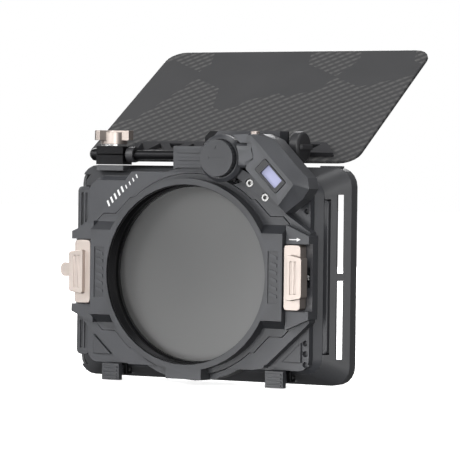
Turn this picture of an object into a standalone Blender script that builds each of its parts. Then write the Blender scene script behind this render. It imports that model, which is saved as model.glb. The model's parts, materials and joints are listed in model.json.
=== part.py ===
"""Clip-on cinema matte box with a motorised variable-ND filter, as an assembly of separate pieces.

Frame: metres. +X is to the right for someone behind the camera, +Y points towards the subject and
+Z is up. The origin is on the optical axis, in the plane of the rear lip that faces the lens.
"""

import math

import bmesh
import bpy
from mathutils import Matrix, Vector

# ---------------------------------------------------------------- driving dimensions
GAP = 0.0003                     # clearance left between neighbouring solids

# ring module: the round filter carrier that grips the lens
LIP_RADIUS = 0.0475              # inner edge of the rear lip
LIP_LAND = 0.0031                # width of the flat lip
MODULE_RADIUS = 0.0532           # outer radius of the carrier's crescents
CRESCENT_Y = 0.0076              # depth of the crescents behind the lip plane
MODULE_FRONT_Y = 0.0155
MODULE_FRONT_WALL = 0.0006
WING_HALF_WIDTH = 0.0574
WING_HALF_HEIGHT = 0.0226        # flat wing face
WING_SLOPE = 0.0044              # run of the sloped wing ends
SHOULDER_HALF_HEIGHT = 0.0312    # stepped seam beside the wings
TAB_HALF_WIDTH = 0.0105
TAB_DROP = 0.0018                # the bottom tab reaches this far below the crescents
LABEL_SIZE = (0.0060, 0.0270)    # recess in each wing
LABEL_X = 0.0521
LABEL_DEPTH = 0.0006

# filters
THREAD_RADIUS = 0.0470
CLEAR_RADIUS = 0.0462
THREAD_LENGTH = 0.0095
POLARISER_THICKNESS = 0.0017

# gear train of the variable ND
GEAR_MODULE = 0.0012
RING_TEETH = 89
DIAL_TEETH = 20
MOTOR_TEETH = 10
GEAR_WIDTH = 0.0040
DIAL_ANGLE = 69.7                # direction of the dial axis from the optical axis, from +X
MOTOR_ANGLE = 0.0                # direction of the motor axis from the dial axis, from +X

# stage: the main frame
STAGE_HALF_WIDTH = 0.0666
STAGE_HALF_HEIGHT = 0.0490
STAGE_BASE_Y = 0.0140            # rear face of the base plate
STAGE_ARM_Y = 0.0080             # rear face of the raised arms
STAGE_FRONT_Y = 0.0220
STAGE_HUB_RADIUS = 0.0565
ARM_TOP = 0.0539
ARM_TOP_HALF = 0.0369
HOUSING_HALF_WIDTH = 0.0710      # lever housings at both sides
HOUSING_HALF_HEIGHT = 0.0235
HOUSING_Y = 0.0035
CORNER_RADIUS = 0.0060

# release levers
LEVER_HALF_HEIGHT = 0.0171
LEVER_WIDTH = 0.0095
LEVER_GRIP_HALF = 0.0120
LEVER_GRIP_WIDTH = 0.0085
LEVER_REAR_Y = -0.0022
SPRING_WIRE = 0.00045
SPRING_TURNS = 5

# hood
RIM_HALF_WIDTH = 0.0819
RIM_HALF_HEIGHT = 0.0572
RIM_LENGTH = 0.0070
HOOD_FRONT_Y = 0.0385
HOOD_WALL = 0.0016
HOOD_REAR_HALF = (0.0708, 0.0514)
SKIRT_REAR_Y = 0.0187            # the stage flares from here to the hood
RIM_CORNER = 0.0100
SLOT_X = 0.0772
SLOT_REAR_Y = 0.0255
SLOT_WIDTH = 0.0026
SLOT_HALF_HEIGHT = 0.0430

# filter tray for a 4 x 5.65 inch filter
FILTER_LENGTH = 0.1435
FILTER_HEIGHT = 0.1010
FILTER_THICKNESS = 0.0038
TRAY_REAR_Y = 0.0279
TRAY_THICKNESS = 0.0048
TRAY_RIM = 0.0030
TRAY_END_WIDTH = 0.0080
TRAY_END_HALF = 0.0455
TRAY_END_REAR_Y = 0.0160

# motor unit
MOTOR_FACE_Y = -0.0080
MOTOR_SHOULDER_Y = -0.0035
MOTOR_FRONT_Y = 0.0076
MOTOR_WALL = 0.0014
MOTOR_CAN_RADIUS = 0.0042
SCREEN_CENTRE = (0.05455, 0.0520)
SCREEN_ANGLE = -45.5
SCREEN_HALF = (0.0058, 0.0032)
BEZEL_HALF = (0.0085, 0.0039)
BEZEL_SHIFT = -0.0006
CAN_REAR_Y = -0.0010
MOTOR_FACE = [
    (0.0400, 0.0727),
    (0.0423, 0.07375),
    (0.0445, 0.0715),
    (0.0620, 0.05365),
    (0.0664, 0.0492),
    (0.0674, 0.0480),
    (0.0664, 0.0468),
    (0.0588, 0.0372),
    (0.0398, 0.0559),
]
MOTOR_BODY = [
    (0.0394, 0.0739),
    (0.0470, 0.0740),
    (0.0540, 0.0712),
    (0.0680, 0.0566),
    (0.0732, 0.0516),
    (0.0743, 0.0460),
    (0.0705, 0.0406),
    (0.0610, 0.0336),
    (0.0392, 0.0552),
]
ARM_OUTLINE = [(0.0310, 0.0690), (0.0425, 0.0690), (0.0437, 0.0609), (0.0389, 0.0566), (0.0310, 0.0566)]
ARM_NOTCH = [(0.0290, 0.0694), (0.0429, 0.0694), (0.0441, 0.0608), (0.0391, 0.0562), (0.0290, 0.0562)]
ARM_REAR_Y = -0.0076
SHOULDER_OUTLINE = [(0.0318, 0.0735), (0.0410, 0.0740), (0.0410, 0.0694), (0.0362, 0.0694)]
MOUNT_OUTLINE = [(0.0306, 0.0514), (0.0334, 0.0556), (0.0417, 0.0518), (0.0600, 0.0336), (0.0531, 0.0359)]
MOUNT_SCREWS = [(0.0379, 0.0485), (0.0470, 0.0412)]
BUTTON_AXIS = (0.0402, 0.0015)   # x, y
BUTTON_RADIUS = 0.0024
BUTTON_COLLAR = (0.0009, 0.0008)   # reach beyond the button, thickness
BUTTON_TRAVEL = 0.0008
BUTTON_TOP = 0.0756
DIAL_RADIUS = 0.00975
DIAL_REAR_Y = -0.0085
DIAL_LENGTH = 0.0083
SHAFT_RADIUS = 0.0020
COLLAR_RADIUS = 0.0124           # fixed collar round the dial
COLLAR_Y = (-0.0048, -0.0004)
HUB_RADIUS = 0.0110
CASE_X = (0.0074, 0.0496)
CASE_REAR_Y = 0.0113
CASE_WALL = 0.0012
BRACKET_THICKNESS = 0.0012
CASE_BOTTOM = 0.0542
CASE_TOP = 0.0758
SCREW_HEAD = 0.00215
SCREW_SHANK = 0.00125
GRIP_TAB = (-0.0118, 0.0069, 0.0676)   # left, right, top

# top flag
FLAG_HALF_WIDTH = 0.0822
FLAG_LENGTH = 0.1177
FLAG_THICKNESS = 0.0020
FLAG_TILT = 32.0
FLAG_AXIS_Z = 0.0629
FLAG_OFFSET = 0.0051             # from the axis down to the sheet's top face
FLAG_START = 0.0041
TRUSS_X = (-0.0500, 0.0690)
TRUSS_START = 0.0078
TRUSS_WIDTH = 0.0106
TRUSS_THICKNESS = 0.0024
ROD_RADIUS = 0.0025
LUG_RADIUS = 0.0042

# flag clamp and lock knob
CLAMP_X = (-0.0672, -0.0506)
CLAMP_REACH = (0.0053, 0.0047)   # behind and before the hinge axis
CLAMP_HEIGHT = 0.0099
CLAMP_SLIT = 0.0008
CLAMP_SCREW_X = -0.0592
WASHER_HEIGHT = 0.0006
CLAMP_KNOB_HUB = 0.0072
CLAMP_KNOB_REACH = 0.0113
CLAMP_KNOB_HEIGHT = 0.0073
LOBE_LIFT = 0.0020
EAR_X = (0.0433, 0.0487)
EAR_DEPTH = 0.0091
EAR_TOP = 0.0700
BOSS_X = (0.0499, 0.0529)
LOCK_AXIS_Z = 0.0676
LOCK_AXIS_BACK = 0.0045          # behind the flag's hinge axis
LOCK_KNOB_RADIUS = 0.0082
LOCK_KNOB_X = (0.0532, 0.0602)

# hood latches
LATCH_X = 0.0492
LATCH_WIDTH = 0.0104
LATCH_PIVOT = (0.0205, -0.0530)  # y, z
LATCH_PAD_Y = (0.0085, 0.0122)
LATCH_PAD_Z = (-0.0580, -0.0492)
HOOK_Y = (0.0255, 0.0285)
LATCH_PIN = 0.0010
STEM_HALF_HEIGHT = 0.0050
STEM_FRONT_Y = 0.0125
STOP_X = (0.0680, 0.0732)
STOP_HALF = 0.0402

PADDLE_LENGTH = 0.0130
PADDLE_Y = 0.0215
ROUND_STEPS = 48
SMALL_STEPS = 20

# ---------------------------------------------------------------- sizes that follow
RING_PITCH = RING_TEETH * GEAR_MODULE / 2
DIAL_PITCH = DIAL_TEETH * GEAR_MODULE / 2
MOTOR_PITCH = MOTOR_TEETH * GEAR_MODULE / 2
LIP_OUTER = LIP_RADIUS + LIP_LAND
GEAR_REAR_Y = MODULE_FRONT_Y + 2 * GAP
GEAR_FRONT_Y = GEAR_REAR_Y + GEAR_WIDTH
GEAR_POCKET_RADIUS = RING_PITCH + GEAR_MODULE + 2 * GAP
HOOD_REAR_Y = STAGE_FRONT_Y + GAP
RIM_REAR_Y = HOOD_FRONT_Y - RIM_LENGTH
CLAMP_BASE_Z = RIM_HALF_HEIGHT + GAP
CLAMP_TOP_Z = CLAMP_BASE_Z + CLAMP_HEIGHT
BORE_RADIUS = LIP_RADIUS + 0.0008
TRAY_HALF_HEIGHT = FILTER_HEIGHT / 2 + GAP + 0.0008
CASE_FRONT_Y = GEAR_FRONT_Y + 2 * GAP
BRACKET_REAR_Y = CASE_FRONT_Y + GAP
EAR_REAR_Y = BRACKET_REAR_Y + BRACKET_THICKNESS + GAP + 0.0001
EAR_Y = (EAR_REAR_Y, EAR_REAR_Y + EAR_DEPTH)
FLAG_AXIS = (EAR_REAR_Y + 0.0044, FLAG_AXIS_Z)   # y, z
LOCK_AXIS = (FLAG_AXIS[0] - LOCK_AXIS_BACK, LOCK_AXIS_Z)
CLAMP_Y = (FLAG_AXIS[0] - CLAMP_REACH[0], FLAG_AXIS[0] + CLAMP_REACH[1])
CLAMP_SCREW = (CLAMP_SCREW_X, FLAG_AXIS[0])      # x, y
TRAY_LEFT_X = -STAGE_HALF_WIDTH - GAP - TRAY_END_WIDTH
TRAY_FRONT_Y = TRAY_REAR_Y + TRAY_THICKNESS


def along(angle, radius):
    """Point at this angle in degrees, measured from the first axis towards the second."""
    return (radius * math.cos(math.radians(angle)), radius * math.sin(math.radians(angle)))


DIAL_AXIS = along(DIAL_ANGLE, RING_PITCH + DIAL_PITCH)
MOTOR_AXIS = tuple(a + b for a, b in zip(DIAL_AXIS, along(MOTOR_ANGLE, DIAL_PITCH + MOTOR_PITCH)))


# ---------------------------------------------------------------- scene and materials
def clear_scene():
    for obj in list(bpy.data.objects):
        bpy.data.objects.remove(obj)


def new_collection(name, helper=False):
    collection = bpy.data.collections.new(name)
    bpy.context.scene.collection.children.link(collection)
    collection.hide_render = helper
    return collection


clear_scene()
PARTS = new_collection("matte_box")
CUTTERS = new_collection("cutters", helper=True)


def material(name, colour, roughness, metallic):
    made = bpy.data.materials.new(name)
    made.use_nodes = True
    shader = made.node_tree.nodes["Principled BSDF"]
    shader.inputs["Base Color"].default_value = (*colour, 1.0)
    shader.inputs["Roughness"].default_value = roughness
    shader.inputs["Metallic"].default_value = metallic
    return made


MATERIALS = {
    "body_plastic": material("body_plastic", (0.105, 0.108, 0.115), 0.55, 0.0),
    "hood_plastic": material("hood_plastic", (0.085, 0.086, 0.090), 0.60, 0.0),
    "black_metal": material("black_metal", (0.020, 0.020, 0.022), 0.35, 0.8),
    "bronze": material("bronze", (0.62, 0.53, 0.48), 0.30, 1.0),
    "steel": material("steel", (0.70, 0.70, 0.70), 0.25, 1.0),
    "dark_glass": material("dark_glass", (0.05, 0.05, 0.052), 0.05, 0.0),
    "carbon": material("carbon", (0.09, 0.09, 0.092), 0.45, 0.0),
    "screen": material("screen", (0.38, 0.38, 0.60), 0.15, 0.0),
    "gear_plastic": material("gear_plastic", (0.05, 0.05, 0.055), 0.45, 0.0),
    "circuit": material("circuit", (0.02, 0.12, 0.06), 0.50, 0.0),
}


# ---------------------------------------------------------------- modelling helpers
MANY_CUTS = ("ring_housing", "stage_frame", "flag_truss_bar")
TURN = {
    "X": Matrix(((0, 0, 1), (1, 0, 0), (0, 1, 0))).to_4x4(),
    "Y": Matrix(((1, 0, 0), (0, 0, -1), (0, 1, 0))).to_4x4(),
    "Z": Matrix.Identity(4),
}
SPIN = {
    "X": Matrix.Rotation(math.pi / 2, 4, "Y"),
    "Y": Matrix.Rotation(-math.pi / 2, 4, "X"),
    "Z": Matrix.Identity(4),
}


def finish(obj, slot):
    """Gives a piece its material, and round faces a smooth shade with sharp edges kept."""
    obj.data.materials.clear()
    obj.data.materials.append(MATERIALS[slot])
    obj.data.shade_smooth()
    obj.data.set_sharp_from_angle(angle=math.radians(35))
    return obj


def mesh_object(name, mesh, slot):
    obj = bpy.data.objects.new(name, mesh)
    (PARTS if slot else CUTTERS).objects.link(obj)
    if slot:
        return finish(obj, slot)
    obj.hide_render = True
    obj.display_type = "WIRE"
    return obj


def box(name, low, high, slot=None):
    """Box between two corners, from a unit cube with its scale in the mesh."""
    low, high = Vector(low), Vector(high)
    bm = bmesh.new()
    bmesh.ops.create_cube(bm, size=1.0)
    bmesh.ops.scale(bm, vec=high - low, verts=bm.verts)
    bmesh.ops.translate(bm, vec=(low + high) / 2, verts=bm.verts)
    mesh = bpy.data.meshes.new(name)
    bm.to_mesh(mesh)
    bm.free()
    return mesh_object(name, mesh, slot)


def filled(name, loops, thickness):
    """Flat solid about the plane of its outline, whose later loops are holes."""
    curve = bpy.data.curves.new(name, "CURVE")
    curve.dimensions = "2D"
    curve.fill_mode = "BOTH"
    curve.extrude = thickness / 2
    for loop in loops:
        spline = curve.splines.new("POLY")
        spline.points.add(len(loop) - 1)
        for point, (a, b) in zip(spline.points, loop):
            point.co = (a, b, 0, 1)
        spline.use_cyclic_u = True
    guide = bpy.data.objects.new(name + "_outline", curve)
    bpy.context.scene.collection.objects.link(guide)
    graph = bpy.context.evaluated_depsgraph_get()
    mesh = bpy.data.meshes.new_from_object(guide.evaluated_get(graph))
    bpy.data.objects.remove(guide)
    bpy.data.curves.remove(curve)
    bm = bmesh.new()
    bm.from_mesh(mesh)
    bmesh.ops.remove_doubles(bm, verts=bm.verts, dist=1e-6)
    bmesh.ops.recalc_face_normals(bm, faces=bm.faces)
    bm.to_mesh(mesh)
    bm.free()
    return mesh


def pushed(name, loop, thickness):
    """Flat solid about the plane of one outline, with a single face on each side."""
    loop = [p for i, p in enumerate(loop) if math.dist(p, loop[i - 1]) > 1e-6]
    bm = bmesh.new()
    face = bm.faces.new([bm.verts.new((a, b, -thickness / 2)) for a, b in loop])
    moved = bmesh.ops.extrude_face_region(bm, geom=[face], use_keep_orig=True)["geom"]
    verts = [item for item in moved if isinstance(item, bmesh.types.BMVert)]
    bmesh.ops.translate(bm, vec=(0, 0, thickness), verts=verts)
    bmesh.ops.recalc_face_normals(bm, faces=bm.faces)
    mesh = bpy.data.meshes.new(name)
    bm.to_mesh(mesh)
    bm.free()
    return mesh


def prism(name, outline, axis, low, high, slot=None, holes=()):
    """Flat outline between two places on an axis. The outline is in (y, z), (x, z) or (x, y)."""
    if holes:
        mesh = filled(name, (outline, *holes), high - low)
    else:
        mesh = pushed(name, outline, high - low)
    mesh.transform(TURN[axis])
    place = [0.0, 0.0, 0.0]
    place["XYZ".index(axis)] = (low + high) / 2
    mesh.transform(Matrix.Translation(place))
    return mesh_object(name, mesh, slot)


def turned(name, profile, axis="Y", centre=(0, 0, 0), slot=None, steps=ROUND_STEPS, closed=True):
    """Turned piece. The profile is (radius, height) and runs down its outer side first."""
    mesh = bpy.data.meshes.new(name)
    count = len(profile)
    edges = [(i, i + 1) for i in range(count - 1)]
    if closed:
        edges.append((count - 1, 0))
    mesh.from_pydata([(r, 0, h) for r, h in profile], edges, [])
    obj = bpy.data.objects.new(name, mesh)
    screw = obj.modifiers.new("Screw", "SCREW")
    screw.steps = steps
    screw.render_steps = steps
    screw.use_merge_vertices = True
    screw.merge_threshold = 1e-6
    obj.matrix_world = Matrix.Translation(centre) @ SPIN[axis]
    (PARTS if slot else CUTTERS).objects.link(obj)
    if slot:
        mesh.materials.append(MATERIALS[slot])
        return obj
    obj.hide_render = True
    obj.display_type = "WIRE"
    return obj


def ring(name, inner, outer, low, high, **where):
    """Plain ring between two heights."""
    return turned(name, [(outer, high), (outer, low), (inner, low), (inner, high)], **where)


def rod(name, radius, low, high, **where):
    """Plain solid cylinder between two heights."""
    return turned(name, [(0, high), (radius, high), (radius, low), (0, low)], closed=False, **where)


def change(target, operation, others):
    """Adds a Boolean for each other shape. Pieces with many cuts take the MANIFOLD solver."""
    for other in others:
        if other.name not in CUTTERS.objects:
            PARTS.objects.unlink(other)
            CUTTERS.objects.link(other)
            other.hide_render = True
            other.display_type = "WIRE"
        modifier = target.modifiers.new(other.name, "BOOLEAN")
        modifier.operation = operation
        modifier.object = other
        modifier.solver = "MANIFOLD" if target.name in MANY_CUTS else "EXACT"
    return target


def cut(target, *others):
    return change(target, "DIFFERENCE", others)


def fuse(target, *others):
    return change(target, "UNION", others)


def set_origin(obj, point):
    """Moves the object's origin to a point, with the shape left where it is."""
    obj.data.transform(Matrix.Translation(-Vector(point)))
    obj.location = point
    return obj


def arc(centre, radius, start, end, steps):
    """Points on an arc between two angles in degrees."""
    return [
        (centre[0] + a, centre[1] + b)
        for a, b in (along(start + (end - start) * i / steps, radius) for i in range(steps + 1))
    ]


def rounded_rectangle(half_width, half_height, radius, steps=4, centre=(0, 0)):
    outline = []
    for sx, sz, start in ((1, 1, 0), (-1, 1, 90), (-1, -1, 180), (1, -1, 270)):
        corner = (centre[0] + sx * (half_width - radius), centre[1] + sz * (half_height - radius))
        outline += arc(corner, radius, start, start + 90, steps)
    return outline


def rounded(points, radius, steps=3):
    """Polygon with each corner replaced by an arc."""
    outline = []
    for i, corner in enumerate(points):
        here = Vector(corner)
        back = (Vector(points[i - 1]) - here)
        ahead = (Vector(points[(i + 1) % len(points)]) - here)
        half = back.angle(ahead) / 2
        reach = min(radius / math.tan(half), 0.45 * back.length, 0.45 * ahead.length)
        start = here + back.normalized() * reach
        end = here + ahead.normalized() * reach
        for step in range(steps + 1):
            t = step / steps
            point = start * (1 - t) ** 2 + here * 2 * t * (1 - t) + end * t ** 2
            outline.append((point.x, point.y))
    return outline


def mirrored(half):
    """Closed outline from its right half, listed from the top to the bottom."""
    return half + [(-x, z) for x, z in reversed(half)]


def gear_outline(teeth, centre=(0, 0), turn=0.0):
    """Straight-flanked teeth with backlash, starting with a tooth at angle turn."""
    pitch = teeth * GEAR_MODULE / 2
    step = 360 / teeth
    points = []
    for i in range(teeth):
        middle = turn + i * step
        for offset, height in ((-0.27, -1.15), (-0.10, 0.95), (0.10, 0.95), (0.27, -1.15)):
            a, b = along(middle + offset * step, pitch + height * GEAR_MODULE)
            points.append((centre[0] + a, centre[1] + b))
    return points


def loft(name, sections, slot=None):
    """Closed shell through equal loops of (x, y, z) points, whose last loop joins its first."""
    bm = bmesh.new()
    loops = [[bm.verts.new(point) for point in section] for section in sections]
    for here, ahead in zip(loops, loops[1:] + loops[:1]):
        for i in range(len(here)):
            j = (i + 1) % len(here)
            bm.faces.new((here[i], here[j], ahead[j], ahead[i]))
    bmesh.ops.recalc_face_normals(bm, faces=bm.faces)
    mesh = bpy.data.meshes.new(name)
    bm.to_mesh(mesh)
    bm.free()
    return mesh_object(name, mesh, slot)


def loop_at(y, outline):
    return [(x, y, z) for x, z in outline]


# ---------------------------------------------------------------- ring module
def module_outline(grow=0.0):
    """Crescents joined to a shouldered block behind the wings."""
    radius = MODULE_RADIUS + grow
    step_z = SHOULDER_HALF_HEIGHT + grow
    meet = math.degrees(math.acos((SHOULDER_HALF_HEIGHT + 0.0088) / MODULE_RADIUS))
    top = [(x, z) for z, x in arc((0, 0), radius, 0, meet, 9)]
    last_x, last_z = top[-1]
    run = last_z - step_z
    side_x = WING_HALF_WIDTH + grow
    right = [
        (last_x + 0.0024, last_z),
        (last_x + 0.0024 + run, step_z),
        (side_x - 0.0035, step_z),
        (side_x, step_z - 0.0035),
    ]
    upper = top[1:] + right
    lower = [(x, -z) for x, z in reversed(upper)]
    return mirrored([(0, radius)] + upper + lower + [(0, -radius)])


def ring_housing():
    """Carrier of the filter: rear lip, two wings, bottom tab and two crescents in one casting."""
    body = prism("ring_housing", module_outline(), "Y", CRESCENT_Y, MODULE_FRONT_Y, "body_plastic")
    lip = rod("lip_blank", LIP_OUTER, 0, CRESCENT_Y + 0.001)
    front_y = CRESCENT_Y + 0.001
    foot = WING_HALF_HEIGHT + WING_SLOPE * front_y / CRESCENT_Y
    slope = [(0, -WING_HALF_HEIGHT), (front_y, -foot), (front_y, foot), (0, WING_HALF_HEIGHT)]
    wings = prism("wing_blank", slope, "X", -WING_HALF_WIDTH, WING_HALF_WIDTH)
    low = (-TAB_HALF_WIDTH, 0, -MODULE_RADIUS - TAB_DROP)
    tab = box("tab_blank", low, (TAB_HALF_WIDTH, MODULE_FRONT_Y - 0.003, -LIP_RADIUS))
    fuse(body, lip, wings, tab)
    bore = rod("lens_bore", BORE_RADIUS, 0.0008, MODULE_FRONT_Y - MODULE_FRONT_WALL)
    mouth = rod("lens_mouth", LIP_RADIUS, -0.002, 0.0012)
    window = rod("front_window", CLEAR_RADIUS + 0.0004, 0.0010, MODULE_FRONT_Y + 0.002)
    cut(body, bore, mouth, window)
    for side in (-1, 1):
        x = (LABEL_X - LABEL_SIZE[0] / 2, LABEL_X + LABEL_SIZE[0] / 2)
        z = (-LABEL_SIZE[1] / 2, LABEL_SIZE[1] / 2)
        cut(body, span_box("label_recess", side, x, (-0.001, LABEL_DEPTH), z))
    return body


def thread_ring():
    """Threaded adapter with two raised turns inside."""
    low = 0.0008 + GAP
    high = low + THREAD_LENGTH
    outer = BORE_RADIUS - GAP
    profile = [(outer, high), (outer, low), (THREAD_RADIUS, low)]
    for place in (0.25, 0.5):
        middle = low + place * THREAD_LENGTH
        profile += [(THREAD_RADIUS, middle - 0.0004), (THREAD_RADIUS - 0.0004, middle)]
        profile.append((THREAD_RADIUS, middle + 0.0004))
    profile.append((THREAD_RADIUS, high))
    return turned("lens_thread_ring", profile, slot="black_metal")


def rear_glass():
    """Rear polariser with the ring that retains it."""
    outer = BORE_RADIUS - GAP
    high = MODULE_FRONT_Y - MODULE_FRONT_WALL - GAP
    low = high - POLARISER_THICKNESS
    rod("rear_polariser", outer, low, high, slot="dark_glass")
    seat = 0.0008 + 2 * GAP + THREAD_LENGTH
    ring("retaining_ring", CLEAR_RADIUS, outer, seat, low - GAP, slot="black_metal")


# ---------------------------------------------------------------- variable ND rotor and gear train
def nd_rotor():
    """Toothed ring that carries the front polariser."""
    bore = arc((0, 0), CLEAR_RADIUS + 0.0012, 0, 360 - 360 / ROUND_STEPS, ROUND_STEPS - 1)
    teeth = gear_outline(RING_TEETH, turn=DIAL_ANGLE)
    gear = prism("nd_gear_ring", teeth, "Y", GEAR_REAR_Y, GEAR_FRONT_Y, "gear_plastic", holes=[bore])
    lip_y = (GEAR_FRONT_Y - 0.0008, GEAR_FRONT_Y - 0.0001)
    fuse(gear, ring("nd_lip", CLEAR_RADIUS, CLEAR_RADIUS + 0.0020, *lip_y))
    high = GEAR_FRONT_Y - 0.0008 - GAP
    rod("front_polariser", CLEAR_RADIUS + 0.0012 - GAP, high - POLARISER_THICKNESS, high, slot="dark_glass")


def drive_shaft(name, teeth, axis, turn, rear_y):
    """Gear with its shaft, turning about a line along Y."""
    gear = prism(name, gear_outline(teeth, axis, turn), "Y", GEAR_REAR_Y, GEAR_FRONT_Y, "gear_plastic")
    fuse(gear, upright_rod(name + "_shaft", SHAFT_RADIUS, rear_y, GEAR_FRONT_Y - 0.001, axis))
    set_origin(gear, (axis[0], GEAR_REAR_Y, axis[1]))


def upright_rod(name, radius, low, high, axis, steps=SMALL_STEPS, slot=None):
    """Cylinder along Y about an axis given in x and z."""
    return rod(name, radius, low, high, centre=(axis[0], 0, axis[1]), steps=steps, slot=slot)


def gear_train():
    dial_turn = DIAL_ANGLE + 180 + 180 / DIAL_TEETH
    drive_shaft("drive_pinion", DIAL_TEETH, DIAL_AXIS, dial_turn, DIAL_REAR_Y + DIAL_LENGTH + GAP)
    steps_off = (MOTOR_ANGLE - dial_turn) * DIAL_TEETH / 360
    motor_turn = MOTOR_ANGLE + 180 + (0.5 + steps_off) * 360 / MOTOR_TEETH
    drive_shaft("motor_pinion", MOTOR_TEETH, MOTOR_AXIS, motor_turn, MOTOR_FRONT_Y + GAP)


def control_dial():
    """Knurled wheel with a plain face, on the rear end of the pinion's shaft."""
    flutes = 30
    outline = []
    for i in range(flutes):
        outline.append(along(i * 360 / flutes, DIAL_RADIUS))
        outline.append(along((i + 0.5) * 360 / flutes, DIAL_RADIUS - 0.0003))
    outline = [(DIAL_AXIS[0] + a, DIAL_AXIS[1] + b) for a, b in outline]
    front_y = DIAL_REAR_Y + DIAL_LENGTH
    dial = prism("control_dial", outline, "Y", DIAL_REAR_Y + 0.0012, front_y, "body_plastic")
    face_y = (DIAL_REAR_Y, DIAL_REAR_Y + 0.002)
    fuse(dial, upright_rod("dial_face", DIAL_RADIUS - 0.0002, *face_y, DIAL_AXIS, flutes))
    set_origin(dial, (DIAL_AXIS[0], DIAL_REAR_Y, DIAL_AXIS[1]))


# ---------------------------------------------------------------- stage frame
def arm_outline():
    """Raised octagonal part of the stage's rear."""
    side_x = HOUSING_HALF_WIDTH - 0.0015
    upper = [(ARM_TOP_HALF, ARM_TOP), (0.0555, SHOULDER_HALF_HEIGHT + 0.0014), (side_x, HOUSING_HALF_HEIGHT)]
    lower = [
        (side_x, -HOUSING_HALF_HEIGHT),
        (ARM_TOP_HALF + 0.0060, -STAGE_HALF_HEIGHT + 0.0012),
        (ARM_TOP_HALF, -STAGE_HALF_HEIGHT),
    ]
    return mirrored(upper + lower)


def stage_frame():
    """Main frame: base plate, raised arms, gear hub, skirt and the housings of the levers."""
    plate = rounded_rectangle(STAGE_HALF_WIDTH, STAGE_HALF_HEIGHT, CORNER_RADIUS)
    frame = prism("stage_frame", plate, "Y", STAGE_BASE_Y, STAGE_FRONT_Y, "body_plastic")
    arms = prism("arm_blank", arm_outline(), "Y", STAGE_ARM_Y, STAGE_BASE_Y + 0.001)
    hub = rod("hub_blank", STAGE_HUB_RADIUS, STAGE_ARM_Y + 0.002, STAGE_FRONT_Y - 0.0002)
    fuse(frame, arms, hub, skirt(), lever_housing(-1), lever_housing(1))
    module = prism("module_recess", module_outline(GAP), "Y", -0.001, MODULE_FRONT_Y + GAP)
    low = (-TAB_HALF_WIDTH - GAP, -0.001, -MODULE_RADIUS - TAB_DROP - 0.01)
    tab = box("tab_recess", low, (TAB_HALF_WIDTH + GAP, MODULE_FRONT_Y - 0.003 + GAP, 0))
    gears = rod("gear_pocket", GEAR_POCKET_RADIUS, MODULE_FRONT_Y, GEAR_FRONT_Y + GAP)
    window = rod("stage_window", CLEAR_RADIUS + 0.0012, MODULE_FRONT_Y, STAGE_FRONT_Y + 0.01)
    reach = DIAL_PITCH + GEAR_MODULE + 2 * GAP
    pinion = upright_rod("pinion_pocket", reach, STAGE_ARM_Y - 0.001, GEAR_FRONT_Y + GAP, DIAL_AXIS, 32)
    reach = MOTOR_PITCH + GEAR_MODULE + 2 * GAP
    motor = upright_rod("motor_gear_pocket", reach, STAGE_ARM_Y - 0.001, GEAR_FRONT_Y + GAP, MOTOR_AXIS, 32)
    cut(frame, module, tab, gears, window, pinion, motor, tray_end_cutter("stage_tray_opening"))
    for side in (-1, 1):
        cut(frame, *lever_pockets(side), latch_notch(side))
    for axis in MOUNT_SCREWS:
        cut(frame, upright_rod("screw_hole", SCREW_SHANK + GAP, 0, STAGE_ARM_Y + 0.004, axis, 12))
    return frame


def skirt():
    """Flared border that carries the stage's outline on to the hood's."""
    small = (STAGE_HALF_WIDTH, STAGE_HALF_HEIGHT)
    large = (HOOD_REAR_HALF[0] - 0.0004, HOOD_REAR_HALF[1] - 0.0002)
    outer = [
        loop_at(SKIRT_REAR_Y, rounded_rectangle(*small, CORNER_RADIUS, 5)),
        loop_at(STAGE_FRONT_Y, rounded_rectangle(*large, RIM_CORNER - 0.001, 5)),
    ]
    inset = rounded_rectangle(small[0] - 0.004, small[1] - 0.004, CORNER_RADIUS - 0.002, 5)
    inner = [loop_at(STAGE_FRONT_Y, inset), loop_at(SKIRT_REAR_Y, inset)]
    return loft("skirt_blank", outer + inner)


def lever_housing(side):
    """Raised block beside each wing, in which a release lever slides."""
    inner = WING_HALF_WIDTH + GAP
    outline = [
        (inner, SHOULDER_HALF_HEIGHT - 0.004),
        (HOUSING_HALF_WIDTH, HOUSING_HALF_HEIGHT - 0.002),
        (HOUSING_HALF_WIDTH, -HOUSING_HALF_HEIGHT + 0.002),
        (inner, -SHOULDER_HALF_HEIGHT + 0.004),
    ]
    outline = [(side * x, z) for x, z in outline]
    return prism("housing_blank", outline, "Y", HOUSING_Y, STAGE_BASE_Y + 0.0005)


def lever_pockets(side):
    """Open channel for the lever's plate, and the closed pocket for its stem and spring."""
    half = LEVER_HALF_HEIGHT + GAP
    channel_x = (WING_HALF_WIDTH - 0.001, 0.09)
    channel = span_box("lever_channel", side, channel_x, (-0.001, STAGE_ARM_Y + GAP), (-half, half))
    half = STEM_HALF_HEIGHT + GAP
    pocket_x = (WING_HALF_WIDTH - 0.001, HOUSING_HALF_WIDTH - 0.0015)
    pocket = span_box("stem_pocket", side, pocket_x, (STAGE_ARM_Y - 0.001, STEM_FRONT_Y + GAP), (-half, half))
    return channel, pocket


def span_box(name, side, x, y, z, slot=None):
    """Box given by its ranges, on the right for side 1 and on the left for side -1."""
    low_x, high_x = sorted((side * x[0], side * x[1]))
    return box(name, (low_x, y[0], z[0]), (high_x, y[1], z[1]), slot)


def latch_notch(side):
    """Notch in the stage's lower edge for a hood latch."""
    half = LATCH_WIDTH / 2 + 2 * GAP
    x = (LATCH_X - half, LATCH_X + half)
    return span_box("latch_notch", side, x, (0, STAGE_BASE_Y - 0.0001), (-0.07, LATCH_PAD_Z[1] + 0.003))


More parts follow.
